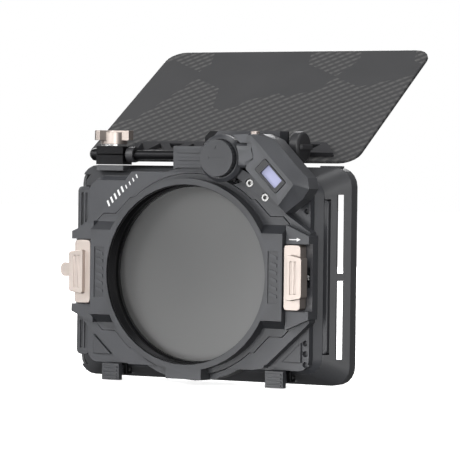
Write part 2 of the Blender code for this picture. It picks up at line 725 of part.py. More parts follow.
def tray_end_cutter(name):
    """Opening in the left side in which the tray's end plate sits."""
    half = TRAY_END_HALF + GAP
    low = (TRAY_LEFT_X - 0.03, TRAY_END_REAR_Y - GAP, -half)
    return box(name, low, (-STAGE_HALF_WIDTH, TRAY_FRONT_Y + GAP, half))


def corner_cover(side):
    """Thin triangular cover on each lower corner of the base plate."""
    name = "corner_cover_right" if side > 0 else "corner_cover_left"
    right = STAGE_HALF_WIDTH - 0.0041
    low = -STAGE_HALF_HEIGHT + 0.0045
    outline = [(side * x, z) for x, z in ((right, low), (right, low + 0.0105), (right - 0.0110, low))]
    return prism(name, outline, "Y", STAGE_BASE_Y - GAP - 0.0012, STAGE_BASE_Y - GAP, "body_plastic")


def top_grip_tab():
    """Ribbed tab above the ring."""
    left, right, top = GRIP_TAB
    front_y = STAGE_ARM_Y + 0.0030
    tab = box("top_grip_tab", (left, STAGE_ARM_Y, ARM_TOP + GAP), (right, front_y, top), "body_plastic")
    cut(tab, rod("tab_seat", STAGE_HUB_RADIUS + GAP, 0, 0.03))
    for z in (0.0562, 0.0601, 0.0640):
        low = (left + 0.0025, STAGE_ARM_Y - 0.0007, z)
        fuse(tab, box("grip_rib", low, (right - 0.001, front_y - 0.001, z + 0.0016)))


# ---------------------------------------------------------------- release levers
def release_lever(side):
    """Lever plate with a raised grip, and a stem in front that bears on the spring."""
    name = "release_lever_right" if side > 0 else "release_lever_left"
    inner = WING_HALF_WIDTH + 2 * GAP
    outer = inner + LEVER_WIDTH
    half = LEVER_HALF_HEIGHT - 0.0002
    outline = rounded([(inner, half), (outer, half), (outer, -half), (inner, -half)], 0.002)
    lever = prism(name, [(side * x, z) for x, z in outline], "Y", 0.0008, STAGE_ARM_Y, "bronze")
    middle = inner + 0.0030
    far = middle + LEVER_GRIP_WIDTH
    half = LEVER_GRIP_HALF
    grip = rounded([(middle, half), (far, half - 0.0015), (far, -half + 0.0015), (middle, -half)], 0.0015)
    fuse(lever, prism("grip_blank", [(side * x, z) for x, z in grip], "Y", LEVER_REAR_Y, 0.0050))
    stem_z = (-STEM_HALF_HEIGHT, STEM_HALF_HEIGHT)
    stem = span_box("stem_blank", side, (inner + 0.0010, inner + 0.0030), (0.004, STEM_FRONT_Y), stem_z)
    fuse(lever, stem)
    set_origin(lever, (side * inner, 0, 0))


def lever_spring(side):
    """Compression spring between a lever's stem and the housing's outer wall."""
    name = "lever_spring_right" if side > 0 else "lever_spring_left"
    start = WING_HALF_WIDTH + 2 * GAP + 0.0030 + GAP + SPRING_WIRE
    end = HOUSING_HALF_WIDTH - 0.0015 - GAP - SPRING_WIRE
    middle_y = (STAGE_ARM_Y + STEM_FRONT_Y) / 2 + GAP
    curve = bpy.data.curves.new(name, "CURVE")
    curve.dimensions = "3D"
    curve.bevel_depth = SPRING_WIRE
    curve.bevel_resolution = 0
    curve.use_fill_caps = True
    spline = curve.splines.new("POLY")
    per_turn = 8
    count = SPRING_TURNS * per_turn + 1
    spline.points.add(count - 1)
    radius = (STEM_FRONT_Y - STAGE_ARM_Y) / 2 - SPRING_WIRE - GAP
    for i, point in enumerate(spline.points):
        a, b = along(i * 360 / per_turn, radius)
        x = start + (end - start) * i / (count - 1)
        point.co = (side * x, middle_y + a, b, 1)
    spring = bpy.data.objects.new(name, curve)
    PARTS.objects.link(spring)
    curve.materials.append(MATERIALS["steel"])


# ---------------------------------------------------------------- hood
def hood_half(y):
    """Outer half width and half height of the hood at a depth."""
    share = min(max((y - HOOD_REAR_Y) / (RIM_REAR_Y - HOOD_REAR_Y), 0.0), 1.0)
    width = HOOD_REAR_HALF[0] + share * (RIM_HALF_WIDTH - HOOD_REAR_HALF[0])
    height = HOOD_REAR_HALF[1] + share * (RIM_HALF_HEIGHT - HOOD_REAR_HALF[1])
    return width, height


def hood_loop(y, inset):
    width, height = hood_half(y)
    return loop_at(y, rounded_rectangle(width - inset, height - inset, RIM_CORNER - inset, 5))


def hood_shell():
    """Flared hood with a straight rim, open at both ends."""
    stations = (HOOD_REAR_Y, RIM_REAR_Y, HOOD_FRONT_Y)
    outer = [hood_loop(y, 0) for y in stations]
    inner = [hood_loop(y, HOOD_WALL) for y in reversed(stations)]
    hood = loft("hood_shell", outer + inner, "hood_plastic")
    fuse(hood, *hood_seats())
    for side in (-1, 1):
        cut(hood, *side_slots(side), latch_window(side))
    cut(hood, tray_end_cutter("hood_tray_opening"))
    half = TRAY_HALF_HEIGHT + GAP
    cut(hood, box("tray_slot", (-0.1, TRAY_REAR_Y - GAP, -half), (-0.04, TRAY_FRONT_Y + GAP, half)))
    low = (STOP_X[0], 0, -STOP_HALF - GAP)
    cut(hood, box("stop_window", low, (STOP_X[1], TRAY_REAR_Y - GAP, STOP_HALF + GAP)))
    return hood


def hood_seats():
    """Seats on the hood's top edge for the flag clamp, the hinge ear and one accessory."""
    top = RIM_HALF_HEIGHT
    under = top - 0.0030
    front = RIM_REAR_Y + 0.002
    left = box("clamp_seat", (CLAMP_X[0], CLAMP_Y[0] + 0.0005, under), (CLAMP_X[1], front, top - 0.0001))
    right = box("ear_seat", (EAR_X[0], EAR_Y[0] + 0.0005, under), (BOSS_X[1], front, top - 0.0001))
    low = (0.0630, RIM_REAR_Y + 0.0005, top - 0.001)
    pad = box("accessory_seat", low, (0.0745, HOOD_FRONT_Y - 0.001, top + 0.0008))
    return left, right, pad


def side_slots(side):
    """Two narrow slots with a bridge between them, for a side flag."""
    x = (SLOT_X - SLOT_WIDTH / 2, SLOT_X + SLOT_WIDTH / 2)
    cutters = []
    for end in (-1, 1):
        z = sorted((end * 0.0020, end * SLOT_HALF_HEIGHT))
        cutters.append(span_box("flag_slot", side, x, (SLOT_REAR_Y, HOOD_FRONT_Y + 0.001), z))
    return cutters


def latch_window(side):
    """Hole in the flare's floor for a latch hook."""
    half = LATCH_WIDTH / 2 - 0.0018
    x = (LATCH_X - half, LATCH_X + half)
    return span_box("latch_window", side, x, (HOOD_REAR_Y + 0.0012, HOOK_Y[1] + 3 * GAP), (-0.0640, -0.0480))


# ---------------------------------------------------------------- filter tray
def filter_tray():
    """Frame that holds one rectangular filter, with the filter in it."""
    glass_x = TRAY_LEFT_X + TRAY_END_WIDTH / 4
    right_x = glass_x + FILTER_LENGTH + 2 * GAP + 0.0012
    middle = (TRAY_LEFT_X + right_x) / 2
    outline = rounded_rectangle((right_x - TRAY_LEFT_X) / 2, TRAY_HALF_HEIGHT, 0.0012, 2, (middle, 0))
    tray = prism("filter_tray", outline, "Y", TRAY_REAR_Y, TRAY_FRONT_Y, "black_metal")
    half = FILTER_HEIGHT / 2
    low = Vector((glass_x, TRAY_REAR_Y + 0.0006 + GAP, -half))
    high = Vector((glass_x + FILTER_LENGTH, low.y + FILTER_THICKNESS, half))
    box("nd_plate_filter", low, high, "dark_glass")
    room = Vector((GAP, GAP, GAP))
    pocket = box("filter_pocket", low - room, high + room + Vector((0, 0.002, 0)))
    inset = Vector((TRAY_RIM, -0.01, TRAY_RIM))
    window = box("tray_window", low + inset, high - inset)
    cut(tray, pocket, window)
    set_origin(tray, (TRAY_LEFT_X, TRAY_REAR_Y, 0))


def tray_end_plate():
    centre = (TRAY_LEFT_X + TRAY_END_WIDTH / 2, 0)
    outline = rounded_rectangle(TRAY_END_WIDTH / 2, TRAY_END_HALF, 0.0025, 3, centre)
    plate = prism("tray_end_plate", outline, "Y", TRAY_END_REAR_Y, TRAY_REAR_Y - GAP, "body_plastic")
    place = (TRAY_LEFT_X, PADDLE_Y, 0)
    cut(plate, rod("paddle_bore", 0.0030 + GAP, -0.01, 0.02, axis="X", centre=place, steps=SMALL_STEPS))
    return plate


def tray_lock():
    """Paddle on a round stem, a quarter turn of which locks the tray."""
    place = (TRAY_LEFT_X, PADDLE_Y, 0)
    reach = TRAY_END_WIDTH / 2
    where = {"axis": "X", "centre": place, "slot": "bronze", "steps": SMALL_STEPS}
    stem = rod("tray_lock_paddle", 0.0030, -0.0040, reach, **where)
    tip = -PADDLE_LENGTH
    outline = rounded([(tip, 0.0042), (-0.0022, 0.0030), (-0.0022, -0.0030), (tip, -0.0042)], 0.0035, 4)
    outline = [(TRAY_LEFT_X + x, z) for x, z in outline]
    blade = prism("paddle_blank", outline, "Y", PADDLE_Y - 0.0016, PADDLE_Y + 0.0016)
    fuse(stem, blade)


def tray_rails():
    """Guides that bear on the tray's rear face, above and below the window."""
    top = HOOD_REAR_HALF[1] - HOOD_WALL - GAP
    for name, side in (("tray_rail_top", 1), ("tray_rail_bottom", -1)):
        z = sorted((side * 0.0450, side * top))
        rail = box(name, (-0.0560, HOOD_REAR_Y, z[0]), (0.0560, TRAY_REAR_Y - GAP, z[1]), "black_metal")
        cut(rail, rod("rail_window", CLEAR_RADIUS + 0.0002, 0, TRAY_REAR_Y + 0.01))


def tray_stop():
    """Rounded bar in the hood's right side, against which the tray ends."""
    low, high = STOP_X[0] + GAP, STOP_X[1] - GAP
    outline = rounded_rectangle((high - low) / 2, STOP_HALF, 0.0020, 3, ((low + high) / 2, 0))
    prism("tray_stop", outline, "Y", HOOD_REAR_Y, TRAY_REAR_Y - 2 * GAP, "body_plastic")


# ---------------------------------------------------------------- hood latches
def hood_latch(side):
    """Rocker with a ribbed pad behind its pivot and a hook in front of it."""
    name = "hood_latch_right" if side > 0 else "hood_latch_left"
    y, z = LATCH_PIVOT
    half = LATCH_WIDTH / 2
    pad_x = (LATCH_X - half, LATCH_X + half)
    arm_x = (pad_x[0] + 0.0022, pad_x[1] - 0.0022)
    latch = span_box(name, side, pad_x, LATCH_PAD_Y, LATCH_PAD_Z, "body_plastic")
    arm = span_box("latch_arm", side, arm_x, (LATCH_PAD_Y[0] + 0.001, HOOK_Y[1]), (z - 0.0016, z + 0.0006))
    hook = span_box("latch_hook", side, arm_x, HOOK_Y, (z - 0.0010, z + 0.0010))
    place = (side * LATCH_X, y, z)
    boss = rod("latch_boss", 0.0022, -0.0030, 0.0030, axis="X", centre=place, steps=SMALL_STEPS)
    fuse(latch, arm, hook, boss)
    rib_y = (LATCH_PAD_Y[0] - 0.0007, LATCH_PAD_Y[0] + 0.001)
    for i in range(4):
        low = LATCH_PAD_Z[0] + 0.0008 + i * 0.0019
        rib_x = (pad_x[0] + 0.001, pad_x[1] - 0.001)
        fuse(latch, span_box("latch_rib", side, rib_x, rib_y, (low, low + 0.0010)))
    cut(latch, rod("latch_bore", LATCH_PIN + GAP, -0.0050, 0.0050, axis="X", centre=place, steps=12))
    set_origin(latch, place)


def latch_pin(side):
    name = "latch_pin_right" if side > 0 else "latch_pin_left"
    place = (side * LATCH_X, *LATCH_PIVOT)
    rod(name, LATCH_PIN, -0.0050, 0.0050, axis="X", centre=place, slot="steel", steps=12)


def latch_bracket(side):
    """Two ears below the stage that carry a latch pin."""
    name = "latch_bracket_right" if side > 0 else "latch_bracket_left"
    y, z = LATCH_PIVOT
    top = -STAGE_HALF_HEIGHT - GAP
    reach = 0.0030 + GAP
    ear_y = (y - 0.0034, y + 0.0022)
    half = reach + 0.0020
    bracket = span_box(name, side, (LATCH_X - half, LATCH_X + half), ear_y, (z - 0.0024, top), "black_metal")
    gap_box = span_box("ear_gap", side, (LATCH_X - reach, LATCH_X + reach), (0, 0.04), (-0.07, z + 0.0027))
    place = (side * LATCH_X, y, z)
    hole = rod("pin_hole", LATCH_PIN + GAP, -0.0080, 0.0080, axis="X", centre=place, steps=12)
    room = box("skirt_room", (-0.09, SKIRT_REAR_Y - GAP, -STAGE_HALF_HEIGHT - 0.0030), (0.09, 0.04, 0))
    cut(bracket, gap_box, hole, room)


# ---------------------------------------------------------------- motor unit
def inset(outline, depth):
    """Convex outline moved inwards by a depth. The outline runs clockwise seen from the rear."""
    moved = []
    for i, here in enumerate(outline):
        back = (Vector(here) - Vector(outline[i - 1])).normalized()
        ahead = (Vector(outline[(i + 1) % len(outline)]) - Vector(here)).normalized()
        first, second = Vector((back.y, -back.x)), Vector((ahead.y, -ahead.x))
        move = (first + second) * depth / (1 + first.dot(second))
        moved.append((here[0] + move.x, here[1] + move.y))
    return moved


def slanted(half, radius, shift=0.0):
    """Rounded rectangle along the motor unit's slant, about the screen's centre."""
    turn = math.radians(SCREEN_ANGLE)
    outline = []
    for a, b in rounded_rectangle(half[0], half[1], radius, 2, (shift, 0)):
        x = SCREEN_CENTRE[0] + a * math.cos(turn) - b * math.sin(turn)
        outline.append((x, SCREEN_CENTRE[1] + a * math.sin(turn) + b * math.cos(turn)))
    return outline


def motor_housing():
    """Slanted shell with an arm over the motor, open towards the front."""
    outer = [
        loop_at(MOTOR_FACE_Y, MOTOR_FACE),
        loop_at(MOTOR_SHOULDER_Y, MOTOR_BODY),
        loop_at(MOTOR_FRONT_Y, MOTOR_BODY),
    ]
    body_inset = inset(MOTOR_BODY, MOTOR_WALL)
    inner = [
        loop_at(MOTOR_FRONT_Y + 0.001, body_inset),
        loop_at(MOTOR_SHOULDER_Y + 0.0007, body_inset),
        loop_at(MOTOR_FACE_Y + MOTOR_WALL, inset(MOTOR_FACE, MOTOR_WALL)),
    ]
    housing = capped_loft("motor_housing", outer, "body_plastic")
    fuse(housing, prism("shoulder_blank", SHOULDER_OUTLINE, "Y", MOTOR_FACE_Y + 0.0001, MOTOR_FRONT_Y - 0.0001))
    cut(housing, prism("arm_notch", ARM_NOTCH, "Y", MOTOR_FACE_Y - 0.001, MOTOR_FACE_Y + 0.0010))
    fuse(housing, arm_over_motor())
    cut(housing, capped_loft("motor_hollow", inner), *dial_room())
    half = (BEZEL_HALF[0] + GAP, BEZEL_HALF[1] + GAP)
    depth = (MOTOR_FACE_Y - 0.001, MOTOR_FACE_Y + 0.003)
    window = prism("bezel_window", slanted(half, 0.0008, BEZEL_SHIFT), "Y", *depth)
    depth = (CAN_REAR_Y - GAP, MOTOR_FRONT_Y + 0.001)
    can = upright_rod("can_pocket", MOTOR_CAN_RADIUS + GAP, *depth, MOTOR_AXIS, 32)
    cut(housing, window, can, *button_room())
    return housing


def arm_over_motor():
    """Bulged arm from the dial's collar over the motor."""
    middle = sum(z for _, z in ARM_OUTLINE) / len(ARM_OUTLINE)
    sections = []
    for depth, share in ((0, 0.50), (0.0007, 0.82), (0.0026, 1.0)):
        sections.append(loop_at(ARM_REAR_Y + depth, [(x, middle + (z - middle) * share) for x, z in ARM_OUTLINE]))
    sections.append(loop_at(MOTOR_FRONT_Y - 0.0002, ARM_OUTLINE))
    return capped_loft("arm_blank", sections)


def dial_room():
    """Space for the dial's collar and for the hub in front of it."""
    collar = upright_rod("collar_room", COLLAR_RADIUS + GAP, MOTOR_FACE_Y - 0.001, COLLAR_Y[1] + GAP, DIAL_AXIS, 32)
    hub = upright_rod("hub_room", HUB_RADIUS + GAP, COLLAR_Y[0], MOTOR_FRONT_Y + 0.001, DIAL_AXIS, 32)
    return collar, hub


def button_room():
    """Hole for the button, and the space below it in which its collar travels."""
    place = (*BUTTON_AXIS, 0)
    wall_low = MOTOR_BODY[0][1] - MOTOR_WALL
    where = {"axis": "Z", "centre": place, "steps": SMALL_STEPS}
    hole = rod("button_hole", BUTTON_RADIUS + GAP, wall_low - 0.001, BUTTON_TOP, **where)
    low = wall_low - 2 * GAP - BUTTON_COLLAR[1] - BUTTON_TRAVEL
    return hole, rod("button_space", BUTTON_RADIUS + BUTTON_COLLAR[0] + GAP, low, wall_low, **where)


def capped_loft(name, sections, slot=None):
    """Closed shell through loops of points, with a face on the first and on the last."""
    bm = bmesh.new()
    loops = [[bm.verts.new(point) for point in section] for section in sections]
    for here, ahead in zip(loops, loops[1:]):
        for i in range(len(here)):
            j = (i + 1) % len(here)
            bm.faces.new((here[i], here[j], ahead[j], ahead[i]))
    bm.faces.new(loops[0])
    bm.faces.new(loops[-1])
    bmesh.ops.recalc_face_normals(bm, faces=bm.faces)
    mesh = bpy.data.meshes.new(name)
    bm.to_mesh(mesh)
    bm.free()
    return mesh_object(name, mesh, slot)


def motor_cover():
    outline = inset(MOTOR_BODY, MOTOR_WALL + GAP)
    cover = prism("motor_cover", outline, "Y", MOTOR_FRONT_Y - 0.0014, MOTOR_FRONT_Y - 0.0002, "body_plastic")
    reach = MOTOR_CAN_RADIUS + GAP + 0.0002
    cut(cover, upright_rod("cover_hole", reach, 0, 0.02, MOTOR_AXIS, 32))


def motor_inside():
    """Motor can, screen, its bezel and the circuit board behind it."""
    upright_rod("motor_can", MOTOR_CAN_RADIUS, CAN_REAR_Y, MOTOR_FRONT_Y - GAP, MOTOR_AXIS, 32, "steel")
    low = MOTOR_FACE_Y - 0.0003
    glass = slanted(SCREEN_HALF, 0.0004)
    frame = slanted(BEZEL_HALF, 0.0006, BEZEL_SHIFT)
    prism("display_bezel", frame, "Y", low, low + 0.0016, "black_metal", holes=[glass])
    low += 0.0016 + GAP
    half = (SCREEN_HALF[0] + 0.0010, SCREEN_HALF[1] + 0.0006)
    prism("display_panel", slanted(half, 0.0004), "Y", low, low + 0.0010, "screen")
    low += 0.0010 + GAP
    prism("control_board", slanted((0.0095, 0.0048), 0.0004), "Y", low, low + 0.0012, "circuit")


def mode_button():
    """Round button on top of the motor unit, with a collar under the housing's wall."""
    place = (*BUTTON_AXIS, 0)
    wall_low = MOTOR_BODY[0][1] - MOTOR_WALL
    collar_high = wall_low - GAP
    profile = [
        (0, BUTTON_TOP),
        (BUTTON_RADIUS, BUTTON_TOP),
        (BUTTON_RADIUS, collar_high),
        (BUTTON_RADIUS + BUTTON_COLLAR[0], collar_high),
        (BUTTON_RADIUS + BUTTON_COLLAR[0], collar_high - BUTTON_COLLAR[1]),
        (0, collar_high - BUTTON_COLLAR[1]),
    ]
    turned("mode_button", profile, "Z", place, "bronze", SMALL_STEPS, closed=False)


def motor_mount():
    """Strip that fastens the motor unit to the stage with two screws."""
    plate = prism("motor_mount_plate", MOUNT_OUTLINE, "Y", 0, STAGE_ARM_Y - GAP, "body_plastic")
    for i, axis in enumerate(MOUNT_SCREWS):
        cut(plate, upright_rod("mount_hole", SCREW_SHANK + GAP, -0.001, 0.02, axis, 12))
        cut(plate, upright_rod("head_room", SCREW_HEAD + GAP, -0.001, 0.0022, axis))
        name = f"mount_screw_{i + 1}"
        screw = upright_rod(name, SCREW_HEAD, 0.0002, 0.0022 - GAP, axis, slot="steel")
        fuse(screw, upright_rod("shank_blank", SCREW_SHANK, 0.001, STAGE_ARM_Y + 0.0035, axis, 12))


def gear_case():
    """Case of the gear train above the stage, with hubs behind it for the two shafts."""
    left, right = CASE_X
    outline = [(left, CASE_BOTTOM), (left, CASE_TOP - 0.0060), (left + 0.0060, CASE_TOP), (right, CASE_TOP)]
    outline.append((right, CASE_BOTTOM))
    case = prism("gear_case", outline, "Y", CASE_REAR_Y, CASE_FRONT_Y, "body_plastic")
    hub = upright_rod("dial_hub", HUB_RADIUS, COLLAR_Y[0] + 0.001, CASE_REAR_Y + 0.001, DIAL_AXIS, 32)
    boss = upright_rod("motor_boss", 0.0060, MOTOR_FRONT_Y + GAP, CASE_REAR_Y + 0.001, MOTOR_AXIS, 24)
    fuse(case, hub, dial_collar(), boss)
    dial_seat = (COLLAR_Y[0] - 0.001, DIAL_REAR_Y + DIAL_LENGTH + GAP)
    cut(case, upright_rod("dial_pocket", DIAL_RADIUS + GAP, *dial_seat, DIAL_AXIS, 32))
    inside_y = (CASE_REAR_Y + CASE_WALL, CASE_FRONT_Y + 0.001)
    for name, axis, pitch in (("dial", DIAL_AXIS, DIAL_PITCH), ("motor", MOTOR_AXIS, MOTOR_PITCH)):
        reach = pitch + GEAR_MODULE + GAP
        cut(case, upright_rod(name + "_gear_room", reach, *inside_y, axis, 32))
        cut(case, upright_rod(name + "_shaft_bore", SHAFT_RADIUS + GAP, -0.005, 0.03, axis))
    cut(case, rod("case_seat", STAGE_HUB_RADIUS + GAP, 0, 0.03))
    return case


def dial_collar():
    """Chamfered ring round the front half of the dial."""
    low, high = COLLAR_Y
    rim = HUB_RADIUS - 0.0003
    profile = [(0, high), (COLLAR_RADIUS, high), (COLLAR_RADIUS, low + 0.0018), (rim, low), (0, low)]
    place = (DIAL_AXIS[0], 0, DIAL_AXIS[1])
    return turned("collar_blank", profile, "Y", place, steps=40, closed=False)


def motor_bracket():
    """Plate that closes the gear case in front and ties the motor unit to the stage."""
    left, right = CASE_X
    low_y = BRACKET_REAR_Y
    outline = [
        (left - 0.0074, CASE_BOTTOM + 0.0032),
        (left - 0.0074, CASE_TOP - 0.0030),
        (left - 0.0044, CASE_TOP),
        (right, CASE_TOP),
        (right, CASE_BOTTOM),
        (left + 0.0096, CASE_BOTTOM),
    ]
    plate = prism("motor_bracket", outline, "Y", low_y, low_y + BRACKET_THICKNESS, "black_metal")
    cut(plate, rod("bracket_seat", STAGE_HUB_RADIUS + GAP, 0, 0.03))
    return plate


# ---------------------------------------------------------------- top flag
def tilt(obj):
    """Turns a piece modelled level with the hinge axis at its origin to the flag's tilt."""
    obj.data.transform(Matrix.Rotation(math.radians(FLAG_TILT), 4, "X"))
    obj.location = (0, *FLAG_AXIS)
    return obj


def flag_sheet():
    half = FLAG_HALF_WIDTH
    end = FLAG_START + FLAG_LENGTH
    outline = rounded_rectangle(half, FLAG_LENGTH / 2, 0.0100, 5, (0, (FLAG_START + end) / 2))
    sheet = prism("flag_sheet", outline, "Z", -FLAG_OFFSET - FLAG_THICKNESS, -FLAG_OFFSET, "carbon")
    tilt(sheet)


def flag_truss():
    """Stiffener across the sheet's rear edge, pierced by a row of triangles, with two hinge lugs."""
    low, high = TRUSS_X
    near, far = TRUSS_START, TRUSS_START + TRUSS_WIDTH
    outline = [(low, near), (low, far), (high - 0.0080, far), (high, near)]
    base = -FLAG_OFFSET + GAP
    top = base + TRUSS_THICKNESS
    bar = prism("flag_truss_bar", outline, "Z", base, top, "body_plastic")
    tilt(bar)
    count = 10
    pitch = (high - low - 0.016) / count
    for i in range(count):
        middle = low + 0.006 + (i + 0.5) * pitch
        first, second = near + 0.0022, far - 0.0022
        if i % 2:
            first, second = second, first
        corners = [(middle - 0.45 * pitch, first), (middle + 0.45 * pitch, first), (middle, second)]
        cut(bar, tilt(prism("truss_hole", corners, "Z", base - 0.001, top + 0.001)))
    for x in ((low + 0.0002, low + 0.0045), (EAR_X[0] - 0.0050, EAR_X[0] - GAP)):
        web = box("lug_web", (x[0], 0, base + 0.0002), (x[1], near + 0.0017, 0.0020))
        place = (0, *FLAG_AXIS)
        eye = rod("lug_eye", LUG_RADIUS, x[0], x[1], axis="X", centre=place, steps=24)
        bore_x = (x[0] - 0.001, x[1] + 0.001)
        fuse(bar, tilt(web), eye)
        cut(bar, rod("lug_bore", ROD_RADIUS + GAP, *bore_x, axis="X", centre=place, steps=24))


def flag_rod():
    """Hinge rod with a wider cap at its left end."""
    place = (0, *FLAG_AXIS)
    left = CLAMP_X[0] - GAP
    profile = [
        (0, EAR_X[1] - GAP),
        (ROD_RADIUS, EAR_X[1] - GAP),
        (ROD_RADIUS, left),
        (0.0033, left),
        (0.0033, left - 0.0044),
        (0, left - 0.0044),
    ]
    turned("flag_rod", profile, "X", place, "steel", 24, closed=False)


def flag_clamp():
    """Split block that grips the hinge rod, with its washer."""
    low = (CLAMP_X[0], CLAMP_Y[0], CLAMP_BASE_Z)
    block = box("flag_clamp_block", low, (CLAMP_X[1], CLAMP_Y[1], CLAMP_TOP_Z), "black_metal")
    place = (0, *FLAG_AXIS)
    bore = rod("clamp_bore", ROD_RADIUS + GAP, -0.09, 0, axis="X", centre=place, steps=24)
    slit_low = (-0.09, 0, FLAG_AXIS[1] - CLAMP_SLIT / 2)
    slit = box("clamp_slit", slit_low, (0, FLAG_AXIS[0], FLAG_AXIS[1] + CLAMP_SLIT / 2))
    place = (*CLAMP_SCREW, 0)
    hole = rod("clamp_hole", SHAFT_RADIUS + GAP, FLAG_AXIS[1], 0.09, axis="Z", centre=place,
               steps=SMALL_STEPS)
    cut(block, bore, slit, hole)
    low_z = CLAMP_TOP_Z + GAP
    where = {"axis": "Z", "centre": place, "slot": "steel", "steps": 24}
    ring("clamp_washer", SHAFT_RADIUS + GAP, 0.0065, low_z, low_z + WASHER_HEIGHT, **where)


def clamp_knob():
    """Three-lobed wing knob on its screw."""
    x, y = CLAMP_SCREW
    outline = []
    for i in range(3):
        for angle, radius in ((-60, 0.45), (-25, 0.62), (-14, 0.96), (0, 1.0), (14, 0.96), (25, 0.62)):
            a, b = along(120 * i + angle, radius * CLAMP_KNOB_REACH)
            outline.append((x + a, y + b))
    base = CLAMP_TOP_Z + WASHER_HEIGHT + 2 * GAP
    top = base + CLAMP_KNOB_HEIGHT
    knob = prism("clamp_knob", outline, "Z", base + LOBE_LIFT, top, "bronze")
    place = (x, y, 0)
    hub = rod("knob_hub", CLAMP_KNOB_HUB, base, top - 0.001, axis="Z", centre=place, steps=32)
    tip = FLAG_AXIS[1] + ROD_RADIUS + GAP
    screw = rod("clamp_screw", SHAFT_RADIUS, tip, base + 0.001, axis="Z", centre=place, steps=SMALL_STEPS)
    fuse(knob, hub, screw)
    set_origin(knob, (x, y, base))


def hinge_ear():
    """Block with the rod's right bearing and a threaded boss for the lock knob."""
    base = CLAMP_BASE_Z
    ear = box("right_hinge_ear", (EAR_X[0], EAR_Y[0], base), (EAR_X[1], EAR_Y[1], EAR_TOP), "black_metal")
    low = (EAR_X[1] - 0.001, EAR_Y[0], base)
    web = box("ear_web", low, (BOSS_X[1], EAR_Y[1], EAR_TOP - 0.001))
    boss = rod("ear_boss", 0.0044, BOSS_X[0], BOSS_X[1], axis="X", centre=(0, *LOCK_AXIS), steps=24)
    fuse(ear, web, boss)
    place = (0, *FLAG_AXIS)
    bore = rod("ear_bore", ROD_RADIUS + GAP, EAR_X[0] - 0.001, EAR_X[1], axis="X", centre=place, steps=24)
    place = (0, *LOCK_AXIS)
    stud = rod("stud_bore", SHAFT_RADIUS + GAP, BOSS_X[0] + 0.0006, 0.06, axis="X", centre=place,
               steps=SMALL_STEPS)
    cut(ear, bore, stud)


def lock_knob():
    """Knob with a grip rib across its face, on a threaded stud."""
    low, high = LOCK_KNOB_X
    place = (low, *LOCK_AXIS)
    length = high - low
    profile = [
        (0, length - 0.0015),
        (LOCK_KNOB_RADIUS - 0.0010, length - 0.0015),
        (LOCK_KNOB_RADIUS, length - 0.0025),
        (LOCK_KNOB_RADIUS, 0),
        (SHAFT_RADIUS, 0),
        (SHAFT_RADIUS, BOSS_X[0] + 0.0009 - low),
        (0, BOSS_X[0] + 0.0009 - low),
    ]
    knob = turned("lock_knob", profile, "X", place, "body_plastic", 32, closed=False)
    y, z = LOCK_AXIS
    rib = box("knob_rib", (high - 0.0030, y - 0.0062, z - 0.0013), (high, y + 0.0062, z + 0.0013))
    fuse(knob, rib)


def main():
    ring_housing()
    thread_ring()
    rear_glass()
    nd_rotor()
    gear_train()
    control_dial()
    stage_frame()
    top_grip_tab()
    for side in (-1, 1):
        corner_cover(side)
        release_lever(side)
        lever_spring(side)
        hood_latch(side)
        latch_pin(side)
        latch_bracket(side)
    hood_shell()
    filter_tray()
    tray_end_plate()
    tray_lock()
    tray_rails()
    tray_stop()
    motor_housing()
    motor_cover()
    motor_inside()
    mode_button()
    motor_mount()
    gear_case()
    motor_bracket()
    flag_sheet()
    flag_truss()
    flag_rod()
    flag_clamp()
    clamp_knob()
    hinge_ear()
    lock_knob()


main()
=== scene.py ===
import json
import math

import bmesh
import bpy
from mathutils import Matrix, Vector
from mathutils.bvhtree import BVHTree


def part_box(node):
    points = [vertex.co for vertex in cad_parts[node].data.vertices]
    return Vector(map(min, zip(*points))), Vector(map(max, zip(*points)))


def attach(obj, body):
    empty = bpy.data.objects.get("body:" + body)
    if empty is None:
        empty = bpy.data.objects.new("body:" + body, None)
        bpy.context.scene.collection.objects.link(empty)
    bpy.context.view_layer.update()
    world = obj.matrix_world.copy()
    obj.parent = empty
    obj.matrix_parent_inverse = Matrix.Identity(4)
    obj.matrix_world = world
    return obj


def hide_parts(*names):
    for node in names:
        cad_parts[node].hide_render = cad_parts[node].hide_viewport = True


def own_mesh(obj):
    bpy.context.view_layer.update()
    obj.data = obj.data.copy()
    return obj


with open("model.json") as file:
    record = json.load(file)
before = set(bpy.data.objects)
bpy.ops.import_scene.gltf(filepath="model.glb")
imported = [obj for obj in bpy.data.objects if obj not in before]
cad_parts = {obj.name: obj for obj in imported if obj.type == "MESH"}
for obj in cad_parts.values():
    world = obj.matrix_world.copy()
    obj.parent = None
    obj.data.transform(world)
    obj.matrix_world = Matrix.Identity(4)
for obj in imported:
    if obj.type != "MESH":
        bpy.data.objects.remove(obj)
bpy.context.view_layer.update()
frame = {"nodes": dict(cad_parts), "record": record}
BODY_OF = {node: body for body, nodes in frame["record"]["behaviour"]["bodies"].items() for node in nodes}
SLOT_OF = {name: node.material_slots[0].material.name for name, node in frame["nodes"].items()}

# ---------------------------------------------------------------- sizes in metres, angles in degrees
SIDES = (("left", -1), ("right", 1))

